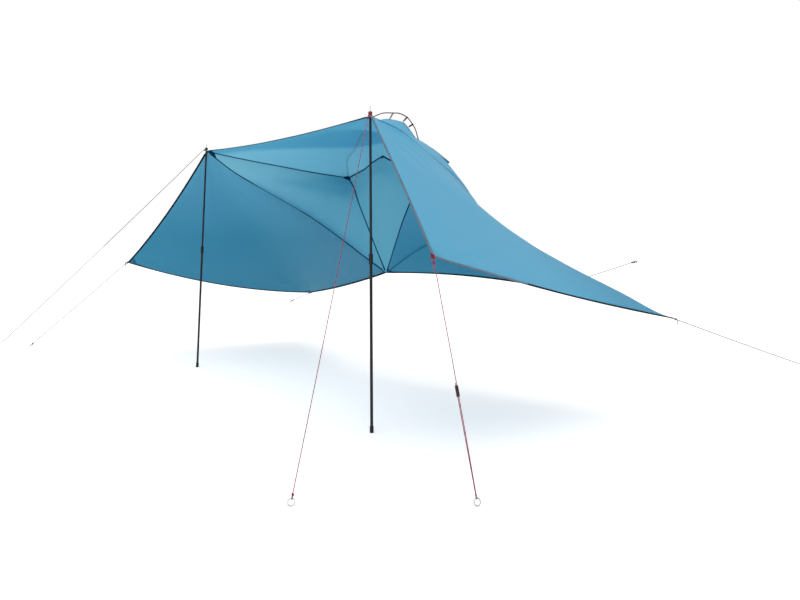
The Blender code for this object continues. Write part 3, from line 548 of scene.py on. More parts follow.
def canopy_lines(parts):
    """Every corner and every edge line of the canopy, each line in that many parts."""
    top = both_sides(HALF_SPAN, POLE_LINE_Y, (POLE_TOP_Z, POLE_TOP_Z))
    wing = both_sides(WING_HALF_WIDTH, WING_FRONT_Y, WING_FRONT_Z)
    tail = both_sides(TAIL_HALF_WIDTH, TAIL_Y, TAIL_Z)
    peak = both_sides(PEAK_HALF_WIDTH, PEAK_Y, PEAK_Z)
    rear_top = np.array((0.0, *REAR_TOP))
    base = np.array((0.0, *REAR_BASE))
    line = {"front": sagging(top[0], top[1], FRONT_HEM_SAG, parts)}
    for k, name in enumerate(("left", "right")):
        side = 2 * k - 1
        line["wing_front_" + name] = sagging(top[k], wing[k], WING_EDGE_SAG[k], parts)
        line["wing_base_" + name] = sagging(wing[k], tail[k], WING_BASE_SAG[k], parts)
        line["rear_" + name] = sagging(tail[k], base, REAR_HEM_SAG[k], parts)
        line["ridge_" + name] = ridge_line(tail[k], top[k], RIDGE_SAG, parts)
        line["roof_" + name] = sagging(top[k], peak[k], ROOF_SAG[k], parts)
        rear_side = [base, *bow(REAR_SIDE_BOW, side, PEAK_HALF_WIDTH), peak[k]]
        line["rear_side_" + name] = smooth_curve(rear_side, parts)
    gable = [base, *bow(GABLE_BOW_LEFT, -1, HALF_SPAN), top[0]]
    line["gable_left"] = smooth_curve(gable, parts)
    high, fold, low = bow((GABLE_HIGH_RIGHT, FOLD_AT_SEAM, GABLE_LOW_RIGHT), 1, HALF_SPAN)
    fine_seam = smooth_curve([base, low, fold, high, top[1]], FINE_PARTS)
    away = np.linalg.norm(fine_seam - np.array(fold), axis=1)
    line["gable_right"] = halved(fine_seam, int(np.argmin(away)) / FINE_PARTS, parts)
    line["rear_right"] = halved(sagging(tail[1], base, REAR_HEM_SAG[1], FINE_PARTS), FOLD_AT_HEM, parts)
    half = [np.array((x, CREST_Y, z)) for x, z in CREST_RIGHT]
    line["crest"] = smooth_curve([peak[0], *mirrored(half), peak[1]], parts)
    far = bow(REAR_TOP_BOW, -1, PEAK_HALF_WIDTH)
    near = bow(REAR_TOP_BOW, 1, PEAK_HALF_WIDTH)
    left = smooth_curve([peak[0], *reversed(far), rear_top], parts // 2)
    right = smooth_curve([rear_top, *near, peak[1]], parts // 2)
    line["rear_top"] = np.concatenate([left, right[1:]])
    corner = {"top": top, "wing": wing, "tail": tail, "peak": peak, "rear_top": rear_top, "base": base}
    return corner, line


def left_back(line):
    """The left wing's back, from its ridge to the gable."""
    return [triangle_patch(line["ridge_left"][::-1], line["rear_left"], line["gable_left"], -WING_BILLOW)]


def right_back(line):
    """The right wing's back as four triangles, on both sides of the fold that the rear cord pulls."""
    ridge = line["ridge_right"][::-1]
    hem = line["rear_right"]
    seam = line["gable_right"]
    half = (len(seam) - 1) // 2
    strut = sagging(seam[half], ridge[half], FRONT_STRUT_SAG, half)
    stay = sagging(ridge[half], hem[half], REAR_STRUT_SAG, half)
    fold = sagging(hem[half], seam[half], 0, half)
    return [triangle_patch(ridge[:half + 1], strut[::-1], seam[half:], FOLD_BILLOW, 1.0),
            triangle_patch(strut, stay, fold, 0, 1.0),
            triangle_patch(stay[::-1], ridge[half:], hem[:half + 1], 0, 1.0),
            triangle_patch(fold[::-1], hem[half:], seam[:half + 1], 0, 1.0)]


def wing_patch(line, k, name, rounds):
    front = triangle_patch(line["wing_front_" + name], line["wing_base_" + name], line["ridge_" + name])
    points, faces, _ = welded([front, *(left_back, right_back)[k](line)])
    return softened(points, faces, rounds), faces


def canopy_patches(line):
    """The panels by name, each as points and faces."""
    rows = np.linspace(0, 1, HOOD_ROWS + 1)[:, None, None]
    layers = (1 - rows) * line["rear_top"] + rows * line["crest"]
    patches = {
        "roof": grid_patch(line["front"], line["crest"], line["roof_left"], line["roof_right"]),
        "hood": (layers.reshape(-1, 3), grid_faces(HOOD_ROWS, len(line["crest"]) - 1)),
        "rear": triangle_patch(line["rear_side_right"][::-1], line["rear_side_left"], line["rear_top"]),
    }
    for k, name in enumerate(("left", "right")):
        patches["gable_" + name] = triangle_patch(
            line["roof_" + name], line["rear_side_" + name][::-1], line["gable_" + name],
            GABLE_BILLOW[k] * (1 - 2 * k), (1.6, 1.0)[k])
        if name == "right":
            points, faces = patches["gable_right"]
            patches["gable_right"] = (softened(points, faces, SOFTENING_ROUNDS), faces)
        patches["wing_" + name] = wing_patch(line, k, name, SOFTENING_ROUNDS)
    return patches


def pull_folds(point, pulls):
    """How far the cloth stands off its smooth shape: folds that run out from the corners, and soft waves."""
    depth = 0.0
    for place, folds, reach, size in pulls:
        away = point - place
        far = np.linalg.norm(away)
        if far < reach:
            around = math.atan2(away[1], away[0]) + 0.7 * math.atan2(away[2], math.hypot(away[0], away[1]))
            fade = math.sin(math.pi * far / reach) * (1 - far / reach)
            depth += size * fade * math.sin(folds * around)
    return depth + 0.0045 * noise(Vector(point) * 2.6) + 0.002 * noise(Vector(point) * 7.0)


class Canopy:
    """The seven panels as one welded sheet, whose faces all look outwards."""

    def __init__(self, corner, line):
        patches = canopy_patches(line)
        self.names = list(patches)
        self.points, faces, self.owner = welded(list(patches.values()))
        flip = []
        for points, sides in patches.values():
            way = sum(face_way(points, face) for face in sides)
            flip.append(way @ (points.mean(axis=0) - np.array(INSIDE_POINT)) < 0)
        self.faces = [face[::-1] if flip[k] else face for face, k in zip(faces, self.owner)]
        self.index = {key_of(p): k for k, p in enumerate(self.points)}
        self.around = {}
        for number, face in enumerate(self.faces):
            for p in face:
                self.around.setdefault(p, []).append(number)
        free = set(border(edge_uses(self.faces)))
        pulls = [(p, 13, 0.9, 0.006) for p in (*corner["wing"], *corner["tail"])]
        pulls += [(p, 11, 0.8, 0.006) for p in (*corner["top"], *corner["peak"])]
        pulls.append((corner["base"], 12, 0.6, 0.004))
        normals = [self.normal(k) for k in range(len(self.points))]
        moved = self.points.copy()
        for k, p in enumerate(self.points):
            if k not in free:
                moved[k] = p + normals[k] * pull_folds(p, pulls)
        self.points = moved

    def near(self, k, panels):
        """The faces at a point, of those panels or of all."""
        return [self.faces[n] for n in self.around[k]
                if panels is None or self.names[self.owner[n]] in panels]

    def normal(self, k, panels=None):
        return unit(sum(face_way(self.points, face) for face in self.near(k, panels)))

    def frames(self, curve, panels):
        """A curve of the sheet: its points, and at each the direction into the panels and their normal."""
        numbers = [self.index[key_of(p)] for p in curve]
        places = [self.points[k] for k in numbers]
        found = []
        for at, k in enumerate(numbers):
            normal = self.normal(k, panels)
            middles = [self.points[list(face)].mean(axis=0) for face in self.near(k, panels)]
            inner = np.mean(middles, axis=0) - places[at]
            side = unit(np.cross(normal, direction(places, at)))
            found.append((side if side @ inner > 0 else -side, normal))
        return places, found


def piece(name, points, faces, material):
    """A smooth piece that rides on the canopy's body."""
    thing = mesh_object(name, points, faces, material)
    thing.data.shade_smooth()
    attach(thing, "canopy")
    return thing


def bar_faces(rings, size):
    """The faces of a bar: its sides between rings of size points each, and its two ends."""
    faces = []
    for k in range(rings - 1):
        for i in range(size):
            j = (i + 1) % size
            faces.append((k * size + i, k * size + j, (k + 1) * size + j, (k + 1) * size + i))
    return [*faces, tuple(range(size))[::-1], tuple((rings - 1) * size + i for i in range(size))]


def map_uv(thing, place):
    """Lays out the piece's UV map; place(face, vertex) gives a corner's u and v."""
    layer = thing.data.uv_layers.new(name="UVMap")
    for face in thing.data.polygons:
        for loop, vertex in zip(face.loop_indices, face.vertices):
            layer.data[loop].uv = place(face, vertex)


def make_sheet(canopy, outside, inside, roof_outside, roof_inside, lit_back_inside):
    """The whole canopy as one sheet. The shell's inner face takes the material after its outer face's."""
    sheet = piece("canopy_sheet", canopy.points, canopy.faces, outside)
    for material in (inside, roof_outside, roof_inside, roof_outside, lit_back_inside):
        sheet.data.materials.append(material)
    # The roof, hood, left gable and rear take the lighter copies of the cloth, painted light.
    number = [{"roof": 2, "gable_left": 4, "hood": 2, "rear": 4}.get(name, 0) for name in canopy.names]
    for face, owner in zip(sheet.data.polygons, canopy.owner):
        face.material_index = number[owner]
    shell = sheet.modifiers.new("wall", "SOLIDIFY")
    shell.thickness = SHEET_WALL
    shell.offset = 0
    shell.material_offset = 1
    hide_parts("roof_panel", "hood_panel", "rear_panel", "gable_panel_left", "gable_panel_right",
                "side_wing_left", "side_wing_right")
    return sheet


# Tapes and bindings


def strip(name, sections, materials, nodes, pick=None):
    """A closed band through cross-sections with equally many points; u runs along it in metres.

    pick(section, side) gives the number of a face's material."""
    size = len(sections[0])
    faces = bar_faces(len(sections), size)
    band = piece(name, [p for section in sections for p in section], faces, materials[0])
    for material in materials[1:]:
        band.data.materials.append(material)
    if pick:
        for number, face in enumerate(band.data.polygons):
            face.material_index = pick(*divmod(min(number, len(faces) - 3), size))
    along = distances([np.mean(section, axis=0) for section in sections])

    def place(face, vertex):
        across = (vertex % size) / (size / 2)
        return along[vertex // size], across if across <= 1 else 2 - across

    map_uv(band, place)
    if nodes:
        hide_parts(*nodes)


def seam(canopy, name, curve, first, second, inner, outer, nodes, width=0.007, wall=0.0013):
    """A felled seam over the joint of two panels, taped on the inside."""
    places, one = canopy.frames(curve, first)
    _, two = canopy.frames(curve, second)
    sections = []
    for p, (side_a, normal_a), (side_b, normal_b) in zip(places, one, two):
        middle = unit(normal_a + normal_b)
        low = 0.6 * wall
        sections.append([p + side_a * width + normal_a * low, p + middle * wall,
                         p + side_b * width + normal_b * low, p + side_b * width - normal_b * low,
                         p - middle * wall, p + side_a * width - normal_a * low])
    strip(name, sections, [outer, inner], nodes, lambda k, side: int(side in (3, 4)))


def binding(canopy, name, curves, panels, materials, nodes, change=0, width=0.013, wall=0.0028):
    """A tape folded over a free edge, in the second material up to the section where it changes."""
    sections = []
    for curve in curves:
        places, found = canopy.frames(curve, panels)
        for p, (side, normal) in zip(places, found):
            sections.append([p + side * width + normal * wall * 0.7, p + normal * wall,
                             p - side * wall * 0.6 + normal * wall * 0.5,
                             p - side * wall * 0.6 - normal * wall * 0.5,
                             p - normal * wall, p + side * width - normal * wall * 0.7])
    strip(name, sections, materials, nodes, lambda k, side: int(k < change))


def make_tapes(canopy, line, tape, plain, faint, bright, edge, warm):
    binding(canopy, "binding_tape_front", [line["front"][1:-1]], ["roof"], [edge], ["binding_front"])
    for name in ("left", "right"):
        curves = [line["wing_front_" + name][1:], line["wing_base_" + name], line["rear_" + name][:-1]]
        change = len(curves[0]) + len(curves[1]) // 3 if name == "right" else 0
        binding(canopy, "binding_tape_" + name, curves, ["wing_" + name], [edge, warm],
                ["binding_" + name], change)
        first = name == "left"
        seam(canopy, "seam_tape_gable_" + name, line["gable_" + name][1:-1], ["gable_" + name],
             ["wing_" + name], tape if first else faint, plain, ["seam_gable"] if first else [])
        seam(canopy, "seam_tape_rear_side_" + name, line["rear_side_" + name][1:-1], ["rear"],
             ["gable_" + name], tape, plain, ["seam_rear_side_" + name])
        seam(canopy, "seam_tape_roof_" + name, line["roof_" + name][1:-1], ["roof"], ["gable_" + name],
             tape, plain, ["seam_roof"] if first else [])
    seam(canopy, "seam_tape_rear_top", line["rear_top"][1:-1], ["hood"], ["rear"], tape, plain, [])
    # The crest tape's inside face takes the painted glow.
    seam(canopy, "seam_tape_crest", line["crest"][1:-1], ["hood"], ["roof"], bright, plain, ["seam_crest"])


def sewn_patch(name, tree, corners, side, material, parts=8, wall=0.0011):
    """A thin three-cornered patch that lies on one face of the cloth: side is 1 outside and -1 inside."""
    a, b, c = (Vector(p) for p in corners)
    layers, index = ([], []), {}
    for i in range(parts + 1):
        for j in range(parts + 1 - i):
            place = a + (b - a) * (i / parts) + (c - a) * (j / parts)
            near, normal = tree.find_nearest(place)[:2]
            index[i, j] = len(layers[0])
            for layer, lift in zip(layers, (0.0007, 0.0007 + wall)):
                layer.append(near + normal * side * lift)
    count = len(layers[0])
    under = triangle_faces(index, parts)
    rim = [index[i, 0] for i in range(parts)] + [index[parts - j, j] for j in range(parts)]
    rim += [index[0, parts - j] for j in range(parts)]
    top = [tuple(k + count for k in face[::-1]) for face in under]
    walls = [(p, q, q + count, p + count) for p, q in zip(rim, rim[1:] + rim[:1])]
    patch = piece(name, layers[0] + layers[1], under + top + walls, material)
    reach = max((Vector(q) - Vector(r)).length for q in corners for r in corners)

    def place(face, vertex):
        far = (patch.data.vertices[vertex].co - a).length
        return far, min(1.0, far / reach)

    map_uv(patch, place)


def along_line(curve, reach):
    """The point of a curve at that distance from its start."""
    far = 0.0
    for p, q in zip(curve, curve[1:]):
        step = np.linalg.norm(q - p)
        if far + step >= reach:
            return p + (q - p) * (reach - far) / step
        far += step
    return curve[-1]


def make_patches(canopy, line, tape, cloth, web):
    """Reinforcing patches where seams meet, and at the corners that are pulled."""
    tree = BVHTree.FromPolygons([Vector(p) for p in canopy.points], [tuple(face) for face in canopy.faces])
    for name in ("left", "right"):
        step = 1 if name == "left" else -1
        front, crest, rear_top = (line[key][::step] for key in ("front", "crest", "rear_top"))
        roof, rear_side, gable, wing = (line[key + name][::-1] for key in
                                        ("roof_", "rear_side_", "gable_", "wing_front_"))
        base, rear = line["wing_base_" + name], line["rear_" + name]
        for part, side, material, spots in (
                ("peak_", -1, tape, ((roof, 0.055), (rear_top, 0.055), (rear_side, 0.07))),
                ("top_", -1, tape, ((front, 0.0), (front, 0.1), (gable, 0.12))),
                ("web_peak_", 1, web, ((crest, 0.0), (crest, 0.035), (rear_side, 0.035))),
                ("wing_", -1, cloth, ((wing, 0.0), (wing, 0.11), (base, 0.11))),
                ("tail_", -1, cloth, ((rear, 0.0), (base[::-1], 0.13), (rear, 0.13)))):
            sewn_patch("patch_" + part + name, tree, [along_line(*spot) for spot in spots], side, material)
    half = len(line["rear_top"]) // 2
    before, after = line["rear_top"][half::-1], line["rear_top"][half:]
    spots = [along_line(before, 0.03), along_line(after, 0.03), after[0] + np.array((0, 0, -0.025))]
    sewn_patch("patch_rear_top", tree, spots, -1, tape)
    hem = line["rear_right"][::-1]
    for name, first, second in (
            ("right", (hem, 0.13), (line["rear_side_right"], 0.05)),
            ("left", (line["rear_left"][::-1], 0.05), (line["gable_left"], 0.05))):
        spots = [hem[0], along_line(*first), along_line(*second)]
        sewn_patch("patch_base_" + name, tree, spots, -1, tape)


def folded_band(name, path, across, widths, wall, material, nodes):
    """A flat web band along a path: across gives its direction of width, and widths its half widths."""
    sections = []
    for k, p in enumerate(path):
        way = direction(path, k)
        side = unit(across - (across @ way) * way)
        up = np.cross(way, side)
        w, h = widths[k], wall / 2
        spots = ((-w, -0.4), (-w, 0.4), (0.0004 - w, 1), (w - 0.0004, 1), (w, 0.4), (w, -0.4),
                 (w - 0.0004, -1), (0.0004 - w, -1))
        sections.append([p + side * x + up * y * h for x, y in spots])
    strip(name, sections, [material], nodes)


def web_tab(name, place, outward, normal, material):
    """A web tab folded over the cloth's edge, wider where it is sewn down."""
    lift = TAB_HALF_GAP + TAB_WALL / 2
    inner = np.linspace(-0.026, 0.0, 7)[:-1]
    heights = [lift + min(x + 0.012, 0.0) * 0.11 for x in inner]
    top = [place + outward * x + normal * height for x, height in zip(inner, heights)]
    bottom = [place + outward * x - normal * height for x, height in zip(inner, heights)][::-1]
    arc = [place + outward * (TAB_REACH + lift * math.sin(turn)) + normal * lift * math.cos(turn)
           for turn in np.linspace(0, math.pi, 11)]
    widths = [TAB_WIDTH / 2 + 0.004 * (1 - k / 6) for k in range(6)]
    widths = widths + [TAB_WIDTH / 2] * 11 + widths[::-1]
    folded_band("web_" + name, [*top, *arc, *bottom], np.cross(outward, normal), widths, TAB_WALL, material,
                ["tab_" + name])


def make_hoop_ties(line, material):
    """Six short web straps that hang the hood's crest on the hoop."""
    half = [np.array((x, HOOP_Y, z)) for x, z in HOOP_RIGHT] + [np.array(HOOP_END)]
    rod = smooth_curve(smooth_curve(mirrored(half), 40) + (HOOP_CENTRE_X, 0, 0), 400)
    crest = smooth_curve(line["crest"], 400)
    for name, sign in (("left", -1), ("right", 1)):
        for k, x in enumerate(HOOP_TIE_X):
            near = int(np.argmin(np.abs(rod[:, 0] - HOOP_CENTRE_X - sign * x)))
            above = rod[near]
            below = crest[int(np.argmin(np.linalg.norm(crest - above, axis=1)))]
            way = unit(below - above)
            ahead = rod[near + 1] - rod[near - 1]
            ahead = unit(ahead - (ahead @ way) * way)
            side = np.cross(way, ahead)
            reach = HOOP_ROD_RADIUS + TOUCH_GAP + TAB_WALL / 2
            low = np.linalg.norm(below - above) - 0.0015
            steps = np.linspace(low, 0.007, 6)
            stands = [side * (0.0012 + (reach - 0.0012) * (1 - t / low)) for t in steps]
            path = [above + way * t + stand for t, stand in zip(steps, stands)]
            path += [above - way * reach * math.sin(a) + side * reach * math.cos(a)
                     for a in np.linspace(0, math.pi, 11)]
            path += [above + way * t - stand for t, stand in zip(steps, stands)][::-1]
            end = name + "_" + str(k + 1)
            folded_band("strap_" + end, path, ahead, [0.005] * len(path), 0.001, material,
                        ["hoop_tie_" + end])


def make_peak_patches(material):
    """The round web patch with its eyelet where each pole's spike goes through the canopy."""
    for name, sign in (("left", -1), ("right", 1)):
        foot, axis, length = pole_frame(sign)
        side = unit(np.cross(axis, (0, 1, 0)))
        other = np.cross(axis, side)
        half = PATCH_HEIGHT / 2
        hole, rim = SPIKE_RADIUS + TOUCH_GAP, PATCH_RADIUS - 0.0012
        profile = ((hole, half), (0.007, half), (0.0078, half * 0.6), (rim, half * 0.55),
                   (PATCH_RADIUS, half * 0.2), (PATCH_RADIUS, -half * 0.6), (rim, -half), (hole, -half))
        points, faces = [], []
        count, size = 40, len(profile)
        for k in range(count):
            turn = 2 * math.pi * k / count
            way = side * math.cos(turn) + other * math.sin(turn)
            points += [foot + axis * (length + h) + way * r for r, h in profile]
            n = (k + 1) % count
            faces += [(k * size + i, n * size + i, n * size + (i + 1) % size, k * size + (i + 1) % size)
                      for i in range(size)]
        disc = piece("patch_pole_" + name, points, faces, material)
        map_uv(disc, lambda face, vertex: (2 * math.pi * (vertex // size) / count * 0.014,
                                           profile[vertex % size][0] / PATCH_RADIUS))
        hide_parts("peak_patch_" + name)


# Cords, on the routes that part.py gives them


def corner_facts(patch, places):
    """The outward direction and the normal at named corners of a coarse patch, as part.py has them."""
    points, faces = patch
    beside = {}
    for face in faces:
        for a, b in zip(face, face[1:] + face[:1]):
            beside[a, b] = face
    after = {a: b for a, b in beside if (b, a) not in beside}
    before = {b: a for a, b in after.items()}
    found = {}
    for here in after:
        for name, place in places.items():
            if np.linalg.norm(points[here] - place) > 1e-6:
                continue
            inward = []
            for a, b in ((before[here], here), (here, after[here])):
                inward.append(unit(np.cross(face_way(points, beside[a, b]), points[b] - points[a])))
            normal = np.cross(points[here] - points[before[here]], points[after[here]] - points[here])
            found[name] = (-unit(inward[0] + inward[1]), unit(normal))
    return found


def tab_directions(bisector, normal, pull):
    normal = unit(normal)
    flat_pull = pull - (pull @ normal) * normal
    flat_bisector = bisector - (bisector @ normal) * normal
    outward = unit(unit(flat_bisector) + flat_pull)
    return outward, np.cross(outward, normal)


def tied_start(place, outward, across, pull):
    """The loop through a tab's fold: its two necks, and the points from one to the other."""
    down = np.array((0.0, 0.0, -1.0))
    if across @ (down - (down @ pull) * pull) < 0:
        across = -across
    centre = place + outward * TAB_REACH
    square = unit(pull - (pull @ across) * across)
    strand = CORD_RADIUS + TOUCH_GAP / 2
    half = TAB_WIDTH / 2
    neck = centre + pull * KNOT_REACH
    turn = ((half + 0.0028, 0.0105), (half + 0.0042, 0.005), (half + 0.0034, 0.0012), (half + 0.0014, 0.0))
    points = [neck + across * strand]
    points += [centre + across * w + square * g for w, g in turn]
    points += [centre - across * w + square * g for w, g in reversed(turn)]
    points.append(neck - across * strand)
    knot = neck + across * strand
    bend = knot + pull * 0.006 + across * 0.002
    drop = bend + unit(unit(pull + down) + across * 0.3) * 0.010
    loose = [drop + down * 0.026 + across * 0.001, drop + down * 0.013 + across * 0.001, drop, bend]
    return points, loose, neck


def tied_end(bar, way, side, bar_radius):
    """Points where a cord comes down against way, passes round a bar and goes back beside itself."""
    reach = bar_radius + CORD_RADIUS + TOUCH_GAP + 0.0001
    strand = CORD_RADIUS + TOUCH_GAP / 2
    points = [bar + way * KNOT_REACH + side * strand]
    for angle in (75, 110, 145, 180, 215, 250, 285):
        turn = math.radians(angle)
        points.append(bar + (way * math.cos(turn) + side * math.sin(turn)) * reach)
    points.append(bar + way * KNOT_REACH - side * strand)
    return points


def hanging(start, end):
    return list(sagging(start, end, 0.004 * np.linalg.norm(end - start), 9))[1:-1]


def ring_bar(anchor, start):
    """Where the line meets its ring on the ground, the direction back up, and the ring's normal."""
    ground = np.array((*anchor, 0.0))
    way = unit(start - ground)
    level = unit((-way[1], way[0], 0.0))
    centre = ground + way * GROUND_RING_RADIUS
    centre[2] = way[2] * GROUND_RING_RADIUS + GROUND_WIRE_RADIUS
    bar = centre + way * GROUND_RING_RADIUS
    return bar, unit(start - bar), np.cross(way, level)


def rounds(points, most=40):
    """The line with more points where it bends, on a smooth curve through those it has."""
    line = [np.array(p, dtype=float) for p in points]
    while len(line) < most:
        turns = [0.0]
        for a, b, c in zip(line, line[1:], line[2:]):
            turns.append(math.acos(max(-1.0, min(1.0, unit(b - a) @ unit(c - b)))))
        turns.append(0.0)
        score = [turns[k] + turns[k + 1] for k in range(len(line) - 1)]
        k = int(np.argmax(score))
        if score[k] < 0.3:
            break
        a, b = line[k], line[k + 1]
        before = line[k - 1] if k else 2 * a - b
        after = line[k + 2] if k + 2 < len(line) else 2 * b - a
        reach = np.linalg.norm(b - a)
        slope_a = unit(unit(a - before) + unit(b - a))
        slope_b = unit(unit(b - a) + unit(after - b))
        line.insert(k + 1, (a + b) / 2 + (slope_a - slope_b) * reach / 8)
    return line


def tube(name, points, radius, material, around=12, tip=1.0):
    """A round bar through points as a mesh; u runs along it in metres and v round it."""
    points = [np.array(p, dtype=float) for p in points]
    side = unit(np.cross(direction(points, 0), (0.31, 0.52, 0.79)))
    rings = []
    for k, p in enumerate(points):
        way = direction(points, k)
        side = unit(side - (side @ way) * way)
        other = np.cross(way, side)
        size = radius * (tip if k in (0, len(points) - 1) else 1.0)
        rings += [p + (side * math.cos(a) + other * math.sin(a)) * size
                  for a in np.linspace(0, 2 * math.pi, around, endpoint=False)]
    bar = piece(name, rings, bar_faces(len(points), around), material)
    along = distances(points)

    def place(face, vertex):
        turn = vertex % around
        wrap = len(face.vertices) == 4 and {i % around for i in face.vertices} >= {0, around - 1}
        return along[vertex // around], (around if wrap and turn == 0 else turn) / around

    map_uv(bar, place)
    return bar


def wrap_knot(name, start, way, side, material, depth=KNOT_REACH - KNOT_DEPTH):
    """A few tight turns of cord round both strands, at that depth from start along way."""
    other = np.cross(way, side)
    centre = start + way * depth
    points = []
    for k in range(KNOT_TURNS * 12 + 1):
        angle = 2 * math.pi * k / 12
        height = (k / (KNOT_TURNS * 12) - 0.5) * KNOT_TURNS * 2.1 * CORD_RADIUS
        ring = (side * math.cos(angle) * 1.25 + other * math.sin(angle)) * KNOT_SPREAD
        points.append(centre + way * height + ring)
    return tube(name, points, CORD_RADIUS * 0.95, material, 8)


def declared(name, node, points, material, pieces):
    """A cord's line as a tube; the cord's node is hidden."""
    points = rounds(points)
    line = tube(name, points, CORD_RADIUS, material)
    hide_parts(node)
    float(distances(points)[-1])
    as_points(points)
    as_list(pieces)


def pole_frame(side):
    foot = np.array((side * (HALF_SPAN + FOOT_OUT), POLE_LINE_Y - FOOT_FORWARD, 0))
    head = np.array((side * HALF_SPAN, POLE_LINE_Y, POLE_TOP_Z))
    axis = unit(head - foot)
    return foot, axis, np.linalg.norm(head - foot)


def pole_guy(name, side, anchor, material):
    foot, axis, length = pole_frame(side)
    head = foot + axis * (length + PATCH_HEIGHT / 2 + TOUCH_GAP + CORD_RADIUS)
    towards = np.array((*anchor, 0.0)) - head
    way = unit(towards - (towards @ axis) * axis)
    across = np.cross(axis, way)
    loop = tied_end(head, way, across, SPIKE_RADIUS)
    leave = loop[-1] + unit(way + unit(towards)) * 0.008
    upper = wrap_knot("knot_top_" + name, head, way, across, material)
    foot, (ring, lower) = to_ground(name, anchor, material)(leave)
    declared("cord_" + name, "guy_" + name, [*loop, leave, *hanging(leave, foot[0]), *foot],
             material, [ring, upper, lower])


def corner_cord(name, node, place, facts, goal, foot_of, material, web, loose):
    """The tab and the cord that starts in it; foot_of gives the lower end's points and its pieces."""
    bisector, normal = facts
    pull = unit(np.array(goal) - place)
    outward, across = tab_directions(bisector, normal, pull)
    web_tab(name, place, outward, unit(normal), web)
    start, tail, neck = tied_start(place, outward, across, pull)
    foot, pieces = foot_of(start[-1])
    pieces.append(wrap_knot("knot_" + name, neck, pull, across, material, 0.0))
    if loose:
        tail = rounds([*tail, start[0]], 16)
        pieces.append(tube("cord_end_" + name, tail, CORD_RADIUS * 0.97, material, tip=0.8))
    declared("cord_" + name, node, [*start, *hanging(start[-1], foot[0]), *foot],
             material, pieces)


def foot_on(name, material, node, radius, bar, way, side):
    """A cord's end round a bar, and the names of the pieces there."""
    knot = wrap_knot("knot_foot_" + name, bar, way, side, material)
    return tied_end(bar, way, side, radius), [node + name, knot]


def to_ground(name, anchor, material):
    return lambda leave: foot_on(name, material, "ground_ring_", GROUND_WIRE_RADIUS, *ring_bar(anchor, leave))


def to_hook(name, place, material):
    def foot_of(leave):
        bar = np.array(place)
        way = unit(leave - bar)
        return foot_on(name, material, "hook_", HOOK_RADIUS, bar, way, unit(np.cross(way, (0, 0, 1))))
    return foot_of


def to_tensioner(name, anchor, _):
    def foot_of(leave):
        bar, back, normal = ring_bar(anchor, leave)
        middle = np.linalg.norm(leave - bar) * (1 - TENSIONER_ALONG)
        spread = STRAND_SPACING / 2
        centre = bar + back * middle
        foot = tied_end(bar, back, normal, GROUND_WIRE_RADIUS)
        reach = TENSIONER_LENGTH / 2
        way = back * (reach + STRAIGHT_RUN)
        down = [centre + way + normal * spread, centre - way + normal * spread]
        up = [centre - way - normal * spread, centre + back * (reach + STRAND_END) - normal * spread]
        return [*down, *foot, *up], ["ground_ring_" + name, "tensioner"]
    return foot_of


def make_cords(corner, red, dark, pale, web):
    _, line = canopy_lines(COARSE_PARTS)
    facts = {}
    for k, name in enumerate(("left", "right")):
        points, faces = wing_patch(line, k, name, COARSE_ROUNDS)
        places = {part + "_" + name: corner[part][k] for part in ("wing", "tail")}
        facts.update(corner_facts((points, faces), places))
    near, after = line["rear_right"][REAR_TIE_AT:REAR_TIE_AT + 2]
    face = min(faces, key=lambda f: np.linalg.norm(points[list(f)].mean(axis=0) - near))
    level = unit(face_way(points, face))
    outward = unit(np.cross(level, near - after))
    facts["rear_right"] = (outward if outward[1] > 0 else -outward, level)
    pole_guy("pole_left", -1, ANCHOR_POLE[0], pale)
    pole_guy("pole_right", 1, ANCHOR_POLE[1], red)
    wing, tail = corner["wing"], corner["tail"]
    rear = (near + after) / 2
    for name, place, goal, end, material in (("wing_left", wing[0], ANCHOR_WING[0], to_ground, pale),
                                             ("wing_right", wing[1], ANCHOR_WING[1], to_tensioner, red),
                                             ("tail_right", tail[1], ANCHOR_TAIL, to_ground, dark),
                                             ("tail_left", tail[0], HOOK_LEFT, to_hook, dark),
                                             ("rear_right", rear, HOOK_RIGHT, to_hook, dark)):
        foot_of = end(name, goal, material)
        node = ("tie_" if end is to_hook else "guy_") + name
        goal = (*goal, 0)[:3]
        corner_cord(name, node, place, facts[name], goal, foot_of, material, web, name != "rear_right")


# Light and floor


def make_world():
    world = bpy.data.worlds.new("studio")
    bpy.context.scene.world = world
    world.use_nodes = True
    tree = world.node_tree
    path = tree.nodes.new("ShaderNodeLightPath")
    white = path.outputs["Is Camera Ray"]
    for name in ("Is Glossy Ray", "Is Transmission Ray"):
        either = tree.nodes.new("ShaderNodeMath")
        either.operation = "MAXIMUM"
        tree.links.new(white, either.inputs[0])
        tree.links.new(path.outputs[name], either.inputs[1])
        white = either.outputs[0]
    mix = tree.nodes.new("ShaderNodeMix")
    mix.data_type = "RGBA"
    mix.inputs[6].default_value = (0.62, 0.62, 0.62, 1)
    mix.inputs[7].default_value = (1, 1, 1, 1)
    tree.links.new(white, mix.inputs["Factor"])
    tree.links.new(mix.outputs[2], tree.nodes["Background"].inputs["Color"])


def make_sun(name, energy, towards):
    """A broad soft light that comes from the given direction."""
    lamp = bpy.data.lights.new(name, "SUN")
    lamp.energy = energy
    lamp.angle = math.radians(50)
    sun = added(name, lamp)
    sun.rotation_euler = Vector(towards).to_track_quat("Z", "Y").to_euler()


